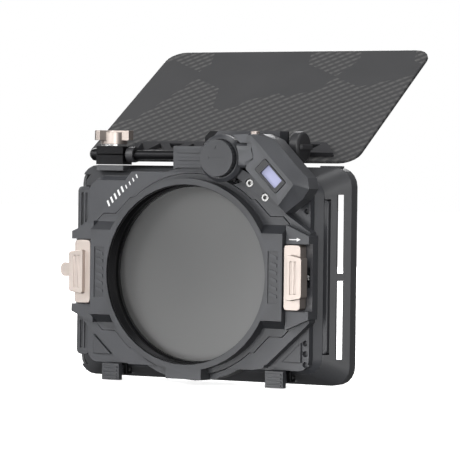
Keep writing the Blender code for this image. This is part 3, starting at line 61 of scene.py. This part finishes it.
# Rounded edges of the moulded and machined pieces: width of the rounding and its steps
ROUNDED = {
    "ring_housing": (0.0006, 3),
    "stage_frame": (0.0006, 2),
    "hood_shell": (0.0010, 3),
    "top_grip_tab": (0.0004, 2),
    "motor_housing": (0.0006, 3),
    "gear_case": (0.0006, 2),
    "control_dial": (0.0003, 2),
    "motor_mount_plate": (0.0004, 2),
    "display_bezel": (0.0003, 2),
    "tray_end_plate": (0.0008, 3),
    "tray_stop": (0.0008, 3),
    "tray_lock_paddle": (0.0009, 3),
    "clamp_knob": (0.0008, 3),
    "lock_knob": (0.0005, 2),
    "mode_button": (0.0004, 2),
    "flag_truss_bar": (0.0003, 2),
    "flag_clamp_block": (0.0004, 2),
    "right_hinge_ear": (0.0004, 2),
    "flag_rod": (0.0004, 2),
    "flag_sheet": (0.0005, 2),
    "motor_bracket": (0.0002, 2),
    "filter_tray": (0.0004, 2),
}
ROUNDED_PAIRS = {
    "release_lever_": (0.0009, 4),
    "hood_latch_": (0.0004, 2),
    "corner_cover_": (0.0003, 2),
    "latch_bracket_": (0.0003, 2),
}
ROUNDED_SCREWS = {
    "mount_screw_1": (0.0002, 2),
    "mount_screw_2": (0.0002, 2),
}

# An edge is rounded, or shaded sharp, from these turns on. In a flat face it is dissolved
BEVEL_ANGLE = 28
SHARP_ANGLE = 40
FLAT_ANGLE = 0.6
MERGE_DISTANCE = 1e-6

# Sunk details, with depths along Y. CUT_MARGIN is how far a cutter stands out of the face that it cuts
CUT_MARGIN = 0.001
LEVER_GROOVE_X = (0.0634, 0.0659)
LEVER_GROOVE_HALF_WIDTH = 0.0005
LEVER_GROOVE_HALF_LENGTH = 0.0085
LEVER_GROOVE_Y = (-0.0030, -0.0016)
STAGE_HOLE_X = 0.0645
STAGE_HOLE_Z = (0.0342, -0.0344, -0.0399, -0.0455)
STAGE_HOLE_RADIUS = 0.00155
STAGE_HOLE_Y = (0.0100, 0.0165)
PLATE_SLOT_Z = ((0.0190, 0.0420), (-0.0420, -0.0270))
PLATE_OUTER_SLOT_X, PLATE_OUTER_SLOT_Y = (-0.0728, -0.0712), (0.0150, 0.0172)
PLATE_INNER_SLOT_X, PLATE_INNER_SLOT_Y = (-0.0703, -0.0690), (0.0150, 0.0170)
SOCKET_RADIUS = 0.00120
SOCKET_DEPTH = 0.0030
SOCKET_TURN = 12
DIAL_BAR_HALF_LENGTH = 0.0045
DIAL_BAR_HALF_WIDTH = 0.0006
DIAL_POINTER_HALF_WIDTH = 0.0012
DIAL_POINTER_TIP = 0.0066
DIAL_MARK_DEPTH = 0.0003

# Lens thread, cut into the bore of its ring
THREAD_WALL = 0.0010
THREAD_PITCH = 0.00075
THREAD_DEPTH = 0.00035
THREAD_START = 0.0006
THREAD_END = 0.0022
THREAD_STEPS = 128

# Raised bars on the wings
WING_BAR_X = 0.0521
WING_BAR_COUNT = 6
WING_BAR_PITCH = 0.0040
WING_BAR_HALF_WIDTH = 0.0008
WING_BAR_LENGTH = 0.0042
WING_BAR_LEAN = 0.35
WING_BAR_Y = (0.00025, 0.0008)

# Printed marks: a row of ticks along a line, long ones first, and an arrow. They lie on the surface that
# a ray meets on its way from PROBE_Y behind the object
INK_SUNK, INK_RAISED = 0.00006, 0.0001
TICK_START, TICK_END = (-0.0505, 0.0352), (-0.0335, 0.0505)
TICK_COUNT, LONG_TICKS = 9, 5
LONG_TICK_HALF_WIDTH, LONG_TICK_LENGTH = 0.00055, 0.0031
SHORT_TICK_HALF_WIDTH, SHORT_TICK_LENGTH = 0.00035, 0.0019
TICK_LEAN = 0.3
ARROW_Z = 0.0197
ARROW_TAIL_X, ARROW_NECK_X, ARROW_TIP_X = 0.0596, 0.0640, 0.0662
ARROW_SHAFT_HALF, ARROW_HEAD_HALF = 0.00025, 0.0010
PROBE_Y = -0.2

# Slopes and places that the patterns follow
FLAG_TILT = 32.0
TWILL_TURN = -135
SCREEN_TURN = -45.5
SCREEN_MIDDLE = (0.05455, 0, 0.0520)
SCREEN_HALF_WIDTH = 0.006

# The photograph's view, its lens and sensor in millimetres
CAMERA_AZIMUTH, CAMERA_ELEVATION, CAMERA_ROLL = 27.44, 1.02, 0.69
CAMERA_AIM = (0.03711, 0, 0.02901)
CAMERA_DISTANCE = 1.45424
CAMERA_SENSOR, CAMERA_LENS = 36, 219.259565
CAMERA_SHIFT = (-0.0382, -0.0201)

# Studio: place, aim, size and power in watts of each soft box
FLOOR_Z = -0.0585
FLOOR_HALF = 6.0
MIDDLE = (0, 0, 0.02)
SOFT_BOXES = {
    "left_box": ((-1.2, -1.1, 0.75), MIDDLE, (0.7, 1.1), 21.0),
    "right_box": ((1.2, -1.5, 0.05), MIDDLE, (0.6, 1.2), 18.0),
    "front_box": ((0.2, -1.8, 0.7), MIDDLE, (0.9, 0.5), 13.0),
    "back_box": ((-0.9, 1.5, 0.5), MIDDLE, (1.2, 0.8), 24.0),
    "top_box": ((0.2, -0.1, 1.5), MIDDLE, (1.2, 0.7), 9.0),
    "glass_box": ((-0.20, -1.0, -0.22), (0, 0, 0), (0.42, 0.42), 4.6),
}


# ---------------------------------------------------------------- node helpers
class Tree:
    """Short names for building a material's nodes."""

    def __init__(self, name):
        self.material = bpy.data.materials.new(name)
        self.material.use_nodes = True
        self.tree = self.material.node_tree
        self.shader = self.tree.nodes["Principled BSDF"]
        self.coords = self.node("ShaderNodeTexCoord").outputs["Object"]

    def node(self, kind, **settings):
        made = self.tree.nodes.new(kind)
        for key, value in settings.items():
            if key in made.inputs:
                made.inputs[key].default_value = value
            else:
                setattr(made, key, value)
        return made

    def link(self, out, socket):
        self.tree.links.new(out, socket)

    def mapped(self, scale=(1, 1, 1), rotation=(0, 0, 0), location=(0, 0, 0), vector=None):
        made = self.node("ShaderNodeMapping", Scale=scale, Rotation=rotation, Location=location)
        self.link(vector or self.coords, made.inputs["Vector"])
        return made.outputs["Vector"]

    def noise(self, scale, detail=3.0, roughness=0.5, vector=None):
        made = self.node("ShaderNodeTexNoise", Scale=scale, Detail=detail, Roughness=roughness)
        self.link(vector or self.coords, made.inputs["Vector"])
        return made.outputs["Fac"]

    def voronoi(self, scale, vector=None, output="Distance", **settings):
        made = self.node("ShaderNodeTexVoronoi", Scale=scale, **settings)
        self.link(vector or self.coords, made.inputs["Vector"])
        return made.outputs[output]

    def bands(self, direction, scale, vector):
        made = self.node("ShaderNodeTexWave", wave_type="BANDS", bands_direction=direction,
                         wave_profile="SIN", Scale=scale)
        self.link(vector, made.inputs["Vector"])
        return made.outputs["Fac"]

    def ramp(self, value, *stops):
        made = self.node("ShaderNodeValToRGB")
        ramp = made.color_ramp
        for element, (place, colour) in zip(ramp.elements, stops):
            element.position = place
            element.color = (*colour, 1)
        self.link(value, made.inputs["Fac"])
        return made.outputs["Color"]

    def span(self, value, low, high, new_low, new_high):
        made = self.node("ShaderNodeMapRange")
        names = ("From Min", "From Max", "To Min", "To Max")
        for key, number in zip(names, (low, high, new_low, new_high)):
            made.inputs[key].default_value = number
        self.link(value, made.inputs["Value"])
        return made.outputs["Result"]

    def math(self, operation, a, b):
        made = self.node("ShaderNodeMath", operation=operation)
        for socket, value in zip(made.inputs, (a, b)):
            self.give(socket, value)
        return made.outputs["Value"]

    def mix(self, share, a, b, blend="MIX"):
        made = self.node("ShaderNodeMix", data_type="RGBA", blend_type=blend)
        for socket, value in ((made.inputs[0], share), (made.inputs[6], a), (made.inputs[7], b)):
            self.give(socket, value)
        return made.outputs[2]

    def bump(self, height, strength, distance, under=None):
        made = self.node("ShaderNodeBump", Strength=strength, Distance=distance)
        self.link(height, made.inputs["Height"])
        if under:
            self.link(under, made.inputs["Normal"])
        return made.outputs["Normal"]

    def give(self, socket, value):
        """A colour or a number is set on the socket, and anything else is linked to it."""
        if isinstance(value, tuple):
            socket.default_value = (*value, 1)
        elif isinstance(value, (int, float)):
            socket.default_value = value
        else:
            self.link(value, socket)

    def put(self, **inputs):
        for key, value in inputs.items():
            self.give(self.shader.inputs[key.replace("_", " ")], value)
        return self.material


def times(colour, factor):
    return tuple(channel * factor for channel in colour)


def grey(level):
    return (level, level, level)


# ---------------------------------------------------------------- materials
def plastic(name, colour, roughness, grain=2600.0, grain_height=0.00003):
    """Moulded plastic: spark-eroded grain, faint clouding, and a painted highlight that lightens its sharp
    outer edges.
    """
    t = Tree(name)
    clouds = t.noise(45.0, 4.0, 0.6)
    fine = t.noise(grain, 2.0, 0.6)
    base = t.ramp(clouds, (0.30, times(colour, 0.90)), (0.70, times(colour, 1.08)))
    speckle = t.ramp(fine, (0.35, grey(0.93)), (0.65, grey(1.06)))
    base = t.mix(1.0, base, speckle, "MULTIPLY")
    # Painted highlight: sharp outer edges, picked out by pointiness, are mixed towards a lighter copy of
    # the colour.
    edge = t.span(t.node("ShaderNodeNewGeometry").outputs["Pointiness"], 0.53, 0.60, 0.0, 1.0)
    base = t.mix(t.math("MULTIPLY", edge, 0.6), base, times(colour, 1.5))
    rough = t.math("ADD", t.span(fine, 0.3, 0.7, -0.05, 0.06),
                   t.span(clouds, 0.3, 0.7, roughness - 0.04, roughness + 0.05))
    return t.put(Base_Color=base, Roughness=rough, Normal=t.bump(fine, 0.5, grain_height))


def anodised(name, colour, roughness, stretch=(1, 1, 1), metallic=1.0, scratches=0.08):
    """Blasted and anodised metal: very fine grain with faint machining lines along one direction."""
    t = Tree(name)
    lines = t.noise(900.0, 3.0, 0.65, t.mapped(stretch))
    grain = t.noise(5200.0, 2.0, 0.5)
    broad = t.noise(70.0, 3.0, 0.55)
    base = t.ramp(lines, (0.25, times(colour, 1 - scratches)), (0.75, times(colour, 1 + scratches)))
    base = t.mix(0.5, base, t.ramp(broad, (0.3, times(colour, 0.92)), (0.7, times(colour, 1.05))))
    rough = t.math("ADD", t.span(lines, 0.3, 0.7, roughness - 0.05, roughness + 0.06),
                   t.span(broad, 0.3, 0.7, -0.02, 0.03))
    normal = t.bump(lines, 0.10, 0.00002, t.bump(grain, 0.25, 0.00001))
    return t.put(Base_Color=base, Roughness=rough, Metallic=metallic, Normal=normal)


def coated_glass():
    """Dark neutral filter glass: an even dense grey, with fine dust and a glossy coating."""
    t = Tree("dark_glass")
    haze = t.noise(16.0, 2.0, 0.4)
    specks = t.voronoi(420.0)
    base = t.ramp(haze, (0.3, (0.020, 0.0203, 0.021)), (0.7, grey(0.025)))
    dust = t.ramp(specks, (0.0, grey(1.25)), (0.035, grey(1)))
    base = t.mix(1.0, base, dust, "MULTIPLY")
    rough = t.span(haze, 0.3, 0.7, 0.30, 0.36)
    return t.put(Base_Color=base, Roughness=rough, IOR=1.9, Coat_Weight=0.25, Coat_Roughness=0.04)


def carbon_sheet():
    """Satin black sheet with angular patches in which the twill of the carbon cloth shows."""
    t = Tree("carbon")
    flat = t.mapped(rotation=(-math.radians(FLAG_TILT), 0, 0))
    spread = t.mapped((1, 0.8, 0), (0, 0, 0.45), (0.013, 0.07, 0), flat)
    chosen = t.node("ShaderNodeSeparateColor")
    t.link(t.voronoi(17.0, spread, "Color", distance="MANHATTAN"), chosen.inputs["Color"])
    mask = t.ramp(chosen.outputs["Red"], (0.0, grey(0)), (0.36, grey(1)))
    mask.node.color_ramp.interpolation = "CONSTANT"
    twill = t.mapped(rotation=(0, 0, math.radians(TWILL_TURN)), vector=flat)
    lines = t.span(t.bands("X", 67.0, twill), 0.35, 0.75, 0, 1)
    dashes = t.span(t.bands("Y", 72.0, twill), 0.0, 0.6, 0.40, 1.0)
    shown = t.math("MULTIPLY", t.math("MULTIPLY", lines, dashes), mask)
    plain = t.ramp(t.noise(30.0), (0.3, (0.040, 0.0405, 0.042)), (0.7, (0.046, 0.046, 0.0475)))
    base = t.mix(shown, t.mix(mask, plain, (0.041, 0.041, 0.0425)), (0.080, 0.079, 0.0775))
    rough = t.span(shown, 0, 1, 0.70, 0.50)
    grain = t.noise(3200.0, 2.0, 0.6)
    normal = t.bump(shown, 0.35, 0.00012, t.bump(grain, 0.25, 0.00002))
    return t.put(Base_Color=base, Roughness=rough, Normal=normal, Specular_IOR_Level=0.30)


def lit_display():
    """Backlit display: pale violet with a faint pixel grid, a little brighter to one side."""
    t = Tree("screen")
    centred = t.mapped(location=times(SCREEN_MIDDLE, -1))
    level = t.mapped(rotation=(0, math.radians(SCREEN_TURN), 0), vector=centred)
    parts = t.node("ShaderNodeSeparateXYZ")
    t.link(level, parts.inputs["Vector"])
    grid = t.voronoi(3300.0, t.mapped((1, 0, 1)), distance="CHEBYCHEV", Randomness=0.0)
    base = t.ramp(grid, (0.2, (0.34, 0.35, 0.50)), (0.5, (0.28, 0.29, 0.44)))
    across = t.span(parts.outputs["X"], -SCREEN_HALF_WIDTH, SCREEN_HALF_WIDTH, 0, 1)
    glow = t.ramp(across, (0.0, (0.44, 0.47, 0.64)), (1.0, (0.50, 0.50, 0.68)))
    return t.put(Base_Color=base, Roughness=t.span(grid, 0, 1, 0.10, 0.18), Emission_Color=glow,
                 Emission_Strength=0.09, Coat_Weight=0.6, Coat_Roughness=0.05)


def circuit_board():
    """Green board with lighter tracks between its fields."""
    t = Tree("circuit")
    tracks = t.node("ShaderNodeTexBrick", Scale=420.0, Color1=(0.012, 0.085, 0.040, 1),
                    Color2=(0.016, 0.110, 0.052, 1), Mortar=(0.040, 0.200, 0.090, 1))
    t.link(t.mapped((1, 1, 0), (math.radians(90), 0, 0)), tracks.inputs["Vector"])
    return t.put(Base_Color=tracks.outputs["Color"], Roughness=t.span(t.noise(900.0), 0.3, 0.7, 0.35, 0.5),
                 Normal=t.bump(tracks.outputs["Fac"], 0.3, 0.00003))


def print_ink():
    """Pale pad-printed ink with a slightly uneven tone."""
    t = Tree("pale_ink")
    worn = t.noise(4000.0, 3.0, 0.7)
    base = t.ramp(worn, (0.2, (0.50, 0.50, 0.51)), (0.6, grey(0.72)))
    return t.put(Base_Color=base, Roughness=t.span(worn, 0, 1, 0.5, 0.7))


def pale_floor():
    """White studio floor that glows a little, so that it reads as white."""
    t = Tree("floor")
    base = t.ramp(t.noise(2.0), (0.2, grey(0.86)), (0.8, grey(0.90)))
    return t.put(Base_Color=base, Roughness=0.8, Emission_Color=grey(1.0), Emission_Strength=0.85)


LOOKS = {
    "body_plastic": plastic("body_plastic", (0.030, 0.0312, 0.0350), 0.38),
    "hood_plastic": plastic("hood_plastic", (0.038, 0.039, 0.042), 0.42, 2100.0, 0.00005),
    "motor_plastic": plastic("motor_plastic", (0.044, 0.0455, 0.050), 0.36, 3000.0, 0.00002),
    "black_metal": anodised("black_metal", (0.010, 0.010, 0.011), 0.34, (1, 1, 9), 0.75, 0.20),
    "bronze": anodised("bronze", (0.45, 0.395, 0.362), 0.42, (9, 9, 1)),
    "steel": anodised("steel", (0.78, 0.78, 0.77), 0.22, (12, 12, 1)),
    "dark_glass": coated_glass(),
    "carbon": carbon_sheet(),
    "screen": lit_display(),
    "gear_plastic": plastic("gear_plastic", (0.030, 0.030, 0.033), 0.42, 3400.0, 0.00002),
    "circuit": circuit_board(),
    "pale_ink": print_ink(),
    "screw_steel": anodised("screw_steel", (0.42, 0.42, 0.415), 0.40, (12, 12, 1)),
    "black_plastic": plastic("black_plastic", (0.020, 0.020, 0.022), 0.38, 3000.0, 0.00002),
    "floor": pale_floor(),
}

# Pieces whose look is a variant of their slot's
LOOK_OF = {
    "motor_housing": "motor_plastic",
    "display_bezel": "black_plastic",
    "lock_knob": "black_plastic",
    "flag_truss_bar": "black_plastic",
    "mount_screw_1": "screw_steel",
    "mount_screw_2": "screw_steel",
}

for name, node in frame["nodes"].items():
    node.material_slots[0].material = LOOKS[SLOT_OF[name]]


# ---------------------------------------------------------------- shapes
def rectangle(left, bottom, right, top):
    return [(left, bottom), (right, bottom), (right, top), (left, top)]


def circle(centre, radius, steps=32, turn=0.0):
    angles = [math.radians(turn) + 2 * math.pi * i / steps for i in range(steps)]
    return [(centre[0] + radius * math.cos(a), centre[1] + radius * math.sin(a)) for a in angles]


def leaning_bar(x, z, turn, half_width, low, high, lean):
    """Outline of a slanted bar round a place, turned by an angle in radians."""
    corners = ((-half_width, low), (half_width, low), (half_width + lean, high), (-half_width + lean, high))
    cos, sin = math.cos(turn), math.sin(turn)
    return [(x + u * cos - v * sin, z + u * sin + v * cos) for u, v in corners]


def prism(outline, low, high):
    """Bmesh of an (x, z) outline pushed from one depth to another."""
    bm = bmesh.new()
    face = bm.faces.new([bm.verts.new((x, low, z)) for x, z in outline])
    pushed = bmesh.ops.extrude_face_region(bm, geom=[face])["geom"]
    moved = [item for item in pushed if isinstance(item, bmesh.types.BMVert)]
    bmesh.ops.translate(bm, verts=moved, vec=(0, high - low, 0))
    bmesh.ops.recalc_face_normals(bm, faces=bm.faces)
    return bm


def turned(profile, steps):
    """Bmesh of a closed (radius, depth) profile swept round the optical axis."""
    bm = bmesh.new()
    rings = []
    for i in range(steps):
        a = 2 * math.pi * i / steps
        rings.append([bm.verts.new((r * math.cos(a), y, r * math.sin(a))) for r, y in profile])
    for i, ring in enumerate(rings):
        after = rings[(i + 1) % steps]
        for j in range(len(profile)):
            k = (j + 1) % len(profile)
            bm.faces.new((ring[j], ring[k], after[k], after[j]))
    bmesh.ops.recalc_face_normals(bm, faces=bm.faces)
    return bm


def joined(parts):
    """One bmesh of several, which are freed."""
    bm = bmesh.new()
    for part in parts:
        mesh = bpy.data.meshes.new("part")
        part.to_mesh(mesh)
        part.free()
        bm.from_mesh(mesh)
        bpy.data.meshes.remove(mesh)
    return bm


def clean(bm):
    """Takes the CAD's doubled points and the edges inside its flat faces away."""
    bmesh.ops.remove_doubles(bm, verts=bm.verts, dist=MERGE_DISTANCE)
    bmesh.ops.dissolve_limit(bm, angle_limit=math.radians(FLAT_ANGLE), verts=bm.verts, edges=bm.edges)
    bmesh.ops.remove_doubles(bm, verts=bm.verts, dist=MERGE_DISTANCE)


def middle_of(node):
    low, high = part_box(node)
    return (low[0] + high[0]) / 2, (low[1] + high[1]) / 2, (low[2] + high[2]) / 2


def surface_y(node, x, z):
    """Depth of a CAD node's rear-facing surface at a place."""
    mesh = frame["nodes"][node].data
    faces = [tuple(polygon.vertices) for polygon in mesh.polygons]
    tree = BVHTree.FromPolygons([vertex.co for vertex in mesh.vertices], faces)
    return tree.ray_cast(Vector((x, PROBE_Y, z)), Vector((0, 1, 0)))[0][1]


# ---------------------------------------------------------------- pieces
def new_object(name, bm):
    """Object from a bmesh, which is freed."""
    mesh = bpy.data.meshes.new(name)
    bm.to_mesh(mesh)
    bm.free()
    made = bpy.data.objects.new(name, mesh)
    bpy.context.scene.collection.objects.link(made)
    return made


def new_piece(name, bm, look):
    """Object with a look, smooth shaded with its hard edges kept."""
    piece = new_object(name, bm)
    piece.data.materials.append(LOOKS[look])
    piece.data.shade_smooth()
    piece.data.set_sharp_from_angle(angle=math.radians(SHARP_ANGLE))
    return piece


def stand_for(piece, node):
    """The piece takes the CAD node's place."""
    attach(piece, BODY_OF[node])
    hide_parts(node)


def subtract(piece, cutters):
    """Cuts the helper objects out of a piece and removes them."""
    for helper in cutters:
        boolean = piece.modifiers.new(helper.name, "BOOLEAN")
        boolean.operation = "DIFFERENCE"
        boolean.solver = "EXACT"
        boolean.object = helper
    graph = bpy.context.evaluated_depsgraph_get()
    cut_mesh = bpy.data.meshes.new_from_object(piece.evaluated_get(graph))
    piece.modifiers.clear()
    piece.data = cut_mesh
    for helper in cutters:
        bpy.data.objects.remove(helper)


def refined(node, rounding, cutters=()):
    """The CAD node's shape with rounded edges and sunk details, which stands for the node."""
    bm = bmesh.new()
    bm.from_mesh(frame["nodes"][node].data)
    clean(bm)
    slot = SLOT_OF[node]
    piece = new_piece(node + "_fine", bm, LOOK_OF.get(node, slot))
    if cutters:
        subtract(piece, cutters)
    bevel = piece.modifiers.new("rounded_edges", "BEVEL")
    bevel.width, bevel.segments = rounding
    bevel.limit_method = "ANGLE"
    bevel.angle_limit = math.radians(BEVEL_ANGLE)
    bevel.use_clamp_overlap = True
    bevel.harden_normals = False
    normals = piece.modifiers.new("even_normals", "WEIGHTED_NORMAL")
    normals.keep_sharp = True
    stand_for(piece, node)


def cutter(outline, low, high):
    """Helper object that refined() subtracts and then removes."""
    return new_object("cutter", prism(outline, low, high))


def lever_grooves(sign):
    """Two finger grooves down the grip of a release lever."""
    cuts = []
    for x in LEVER_GROOVE_X:
        left, right = sign * x - LEVER_GROOVE_HALF_WIDTH, sign * x + LEVER_GROOVE_HALF_WIDTH
        outline = rectangle(left, -LEVER_GROOVE_HALF_LENGTH, right, LEVER_GROOVE_HALF_LENGTH)
        cuts.append(cutter(outline, *LEVER_GROOVE_Y))
    return cuts


def stage_holes():
    """Accessory holes down the right side of the base plate."""
    outlines = [circle((STAGE_HOLE_X, z), STAGE_HOLE_RADIUS) for z in STAGE_HOLE_Z]
    return [cutter(outline, *STAGE_HOLE_Y) for outline in outlines]


def end_plate_slots():
    """Two upright slots side by side, above and below the paddle."""
    cuts = []
    for low, high in PLATE_SLOT_Z:
        for (left, right), depths in (
            (PLATE_OUTER_SLOT_X, PLATE_OUTER_SLOT_Y),
            (PLATE_INNER_SLOT_X, PLATE_INNER_SLOT_Y),
        ):
            cuts.append(cutter(rectangle(left, low, right, high), *depths))
    return cuts


def hex_socket(node):
    """Hexagon socket in a screw's head."""
    x, _, z = middle_of(node)
    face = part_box(node)[0][1]
    outline = circle((x, z), SOCKET_RADIUS, 6, SOCKET_TURN)
    return [cutter(outline, face - CUT_MARGIN, face + SOCKET_DEPTH)]


def dial_mark():
    """A bar and a small pointer pressed into the dial's face."""
    x, _, z = middle_of("control_dial")
    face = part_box("control_dial")[0][1]
    bar = rectangle(x - DIAL_BAR_HALF_LENGTH, z - DIAL_BAR_HALF_WIDTH,
                    x + DIAL_BAR_HALF_LENGTH, z + DIAL_BAR_HALF_WIDTH)
    foot_z = z + DIAL_BAR_HALF_LENGTH
    pointer = [(x - DIAL_POINTER_HALF_WIDTH, foot_z), (x, z + DIAL_POINTER_TIP),
               (x + DIAL_POINTER_HALF_WIDTH, foot_z)]
    return [cutter(outline, face - CUT_MARGIN, face + DIAL_MARK_DEPTH) for outline in (bar, pointer)]


def moulded_pieces():
    details = {"stage_frame": stage_holes, "control_dial": dial_mark, "tray_end_plate": end_plate_slots}
    for node, rounding in ROUNDED.items():
        refined(node, rounding, details[node]() if node in details else ())
    for side, sign in SIDES:
        for start, rounding in ROUNDED_PAIRS.items():
            refined(start + side, rounding, lever_grooves(sign) if start == "release_lever_" else ())
    for node, rounding in ROUNDED_SCREWS.items():
        refined(node, rounding, hex_socket(node))


def threaded_ring():
    """Filter ring with a fine thread cut into its bore."""
    low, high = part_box("lens_thread_ring")
    outer, bore = high[0], high[0] - THREAD_WALL
    profile = [(outer, low[1]), (bore, low[1])]
    y = low[1] + THREAD_START
    while y + THREAD_PITCH < high[1] - THREAD_END:
        profile += [(bore, y), (bore + THREAD_DEPTH, y + 0.5 * THREAD_PITCH)]
        y += THREAD_PITCH
    profile += [(bore, y), (bore, high[1]), (outer, high[1])]
    ring = new_piece("lens_thread_ring_fine", turned(profile, THREAD_STEPS), "black_metal")
    stand_for(ring, "lens_thread_ring")


def lever_springs():
    """Steel coils that stand for the lever springs, each with a mesh of its own. On the real part they
    shorten against the housing's outer wall as the levers slide out.
    """
    for side, sign in SIDES:
        node = "lever_spring_" + side
        bm = bmesh.new()
        bm.from_mesh(frame["nodes"][node].data)
        spring = new_piece(node + "_coil", bm, "steel")
        stand_for(spring, node)
        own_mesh(spring)


# ---------------------------------------------------------------- printed and raised marks
def placed(name, bm, look, like):
    """A small added piece that rides with the body of a CAD node."""
    piece = new_piece(name, bm, look)
    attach(piece, BODY_OF[like])


def wing_bars():
    """A column of slanted raised bars on each wing: a decoration without any letters."""
    half = WING_BAR_LENGTH / 2
    for side, sign in SIDES:
        bars = []
        for i in range(WING_BAR_COUNT):
            z = (i - (WING_BAR_COUNT - 1) / 2) * WING_BAR_PITCH
            outline = leaning_bar(sign * WING_BAR_X, z, math.radians(90), WING_BAR_HALF_WIDTH, -half, half,
                                  WING_BAR_LENGTH * WING_BAR_LEAN)
            bars.append(prism(outline, *WING_BAR_Y))
        placed("wing_bars_" + side, joined(bars), "body_plastic", "ring_housing")


def ink(name, outlines, like):
    """Thin printed marks lying on a rear-facing surface."""
    marks = []
    for outline in outlines:
        x = sum(u for u, _ in outline) / len(outline)
        z = sum(v for _, v in outline) / len(outline)
        y = surface_y(like, x, z)
        marks.append(prism(outline, y - INK_SUNK, y + INK_RAISED))
    placed(name, joined(marks), "pale_ink", like)


def tick_row():
    """Row of slanted ticks of falling length beside the ring."""
    run, climb = TICK_END[0] - TICK_START[0], TICK_END[1] - TICK_START[1]
    outlines = []
    for i in range(TICK_COUNT):
        share = i / (TICK_COUNT - 1)
        half_width = LONG_TICK_HALF_WIDTH if i < LONG_TICKS else SHORT_TICK_HALF_WIDTH
        length = LONG_TICK_LENGTH if i < LONG_TICKS else SHORT_TICK_LENGTH
        outlines.append(leaning_bar(TICK_START[0] + run * share, TICK_START[1] + climb * share,
                                    math.atan2(climb, run), half_width, 0, length, TICK_LEAN * length))
    return outlines


def unlock_arrow():
    """Arrow beside the right lever: it points the way the lever slides."""
    shaft = rectangle(ARROW_TAIL_X, ARROW_Z - ARROW_SHAFT_HALF, ARROW_NECK_X, ARROW_Z + ARROW_SHAFT_HALF)
    head = [(ARROW_NECK_X, ARROW_Z - ARROW_HEAD_HALF), (ARROW_TIP_X, ARROW_Z),
            (ARROW_NECK_X, ARROW_Z + ARROW_HEAD_HALF)]
    return [shaft, head]


# ---------------------------------------------------------------- stage, light and camera
def white_room():
    """Plain white to the camera, and a soft grey sky to everything that it lights."""
    world = bpy.data.worlds.new("studio")
    bpy.context.scene.world = world
    world.use_nodes = True
    nodes, links = world.node_tree.nodes, world.node_tree.links
    split = nodes.new("ShaderNodeSeparateXYZ")
    links.new(nodes.new("ShaderNodeTexCoord").outputs["Generated"], split.inputs["Vector"])
    shift = nodes.new("ShaderNodeMapRange")
    shift.inputs["From Min"].default_value = -1
    links.new(split.outputs["Z"], shift.inputs["Value"])
    sky = nodes.new("ShaderNodeValToRGB")
    bottom, top = sky.color_ramp.elements
    bottom.color = (*grey(0.05), 1)
    top.color = (0.34, 0.34, 0.35, 1)
    middle = sky.color_ramp.elements.new(0.5)
    middle.color = (*grey(0.22), 1)
    links.new(shift.outputs["Result"], sky.inputs["Fac"])
    background = nodes["Background"]
    links.new(sky.outputs["Color"], background.inputs["Color"])
    plain = nodes.new("ShaderNodeBackground")
    plain.inputs["Color"].default_value = (*grey(1), 1)
    choose = nodes.new("ShaderNodeMixShader")
    links.new(nodes.new("ShaderNodeLightPath").outputs["Is Camera Ray"], choose.inputs[0])
    links.new(background.outputs[0], choose.inputs[1])
    links.new(plain.outputs[0], choose.inputs[2])
    links.new(choose.outputs[0], nodes["World Output"].inputs["Surface"])


def floor():
    """Pale ground for the camera only: it lights nothing, shows in no reflection and casts no shadow."""
    bm = bmesh.new()
    bmesh.ops.create_grid(bm, x_segments=8, y_segments=8, size=FLOOR_HALF)
    bmesh.ops.translate(bm, verts=bm.verts, vec=(0, 0, FLOOR_Z))
    ground = new_piece("floor", bm, "floor")
    ground.visible_diffuse = ground.visible_glossy = ground.visible_shadow = False


def soft_box(name, place, aim, size, power):
    light = bpy.data.lights.new(name, "AREA")
    light.shape = "RECTANGLE"
    light.size, light.size_y = size
    light.energy = power
    box = bpy.data.objects.new(name, light)
    box.location = place
    box.rotation_euler = (Vector(place) - Vector(aim)).to_track_quat("Z", "Y").to_euler()
    bpy.context.scene.collection.objects.link(box)


def camera():
    """The photograph's view, slightly rolled."""
    azimuth, elevation = math.radians(CAMERA_AZIMUTH), math.radians(CAMERA_ELEVATION)
    roll = math.radians(CAMERA_ROLL)
    back = Vector((math.sin(azimuth) * math.cos(elevation), -math.cos(azimuth) * math.cos(elevation),
                   math.sin(elevation)))
    right = (-back).cross(Vector((0, 0, 1))).normalized()
    up = right.cross(-back)
    rolled_right = math.cos(roll) * right + math.sin(roll) * up
    rolled_up = -math.sin(roll) * right + math.cos(roll) * up
    data = bpy.data.cameras.new("camera")
    data.sensor_width = CAMERA_SENSOR
    data.lens = CAMERA_LENS
    data.shift_x, data.shift_y = CAMERA_SHIFT
    data.clip_start, data.clip_end = 0.01, 100
    eye = bpy.data.objects.new("camera", data)
    turn = Matrix((rolled_right, rolled_up, back)).transposed().to_4x4()
    eye.matrix_world = Matrix.Translation(Vector(CAMERA_AIM) + CAMERA_DISTANCE * back) @ turn
    bpy.context.scene.collection.objects.link(eye)
    bpy.context.scene.camera = eye


# ---------------------------------------------------------------- assembly
moulded_pieces()
threaded_ring()
lever_springs()
wing_bars()
ink("scale_ticks", tick_row(), "stage_frame")
ink("lever_arrow", unlock_arrow(), "stage_frame")
white_room()
floor()
for name, settings in SOFT_BOXES.items():
    soft_box(name, *settings)
camera()
bpy.context.scene.view_settings.view_transform = "Standard"
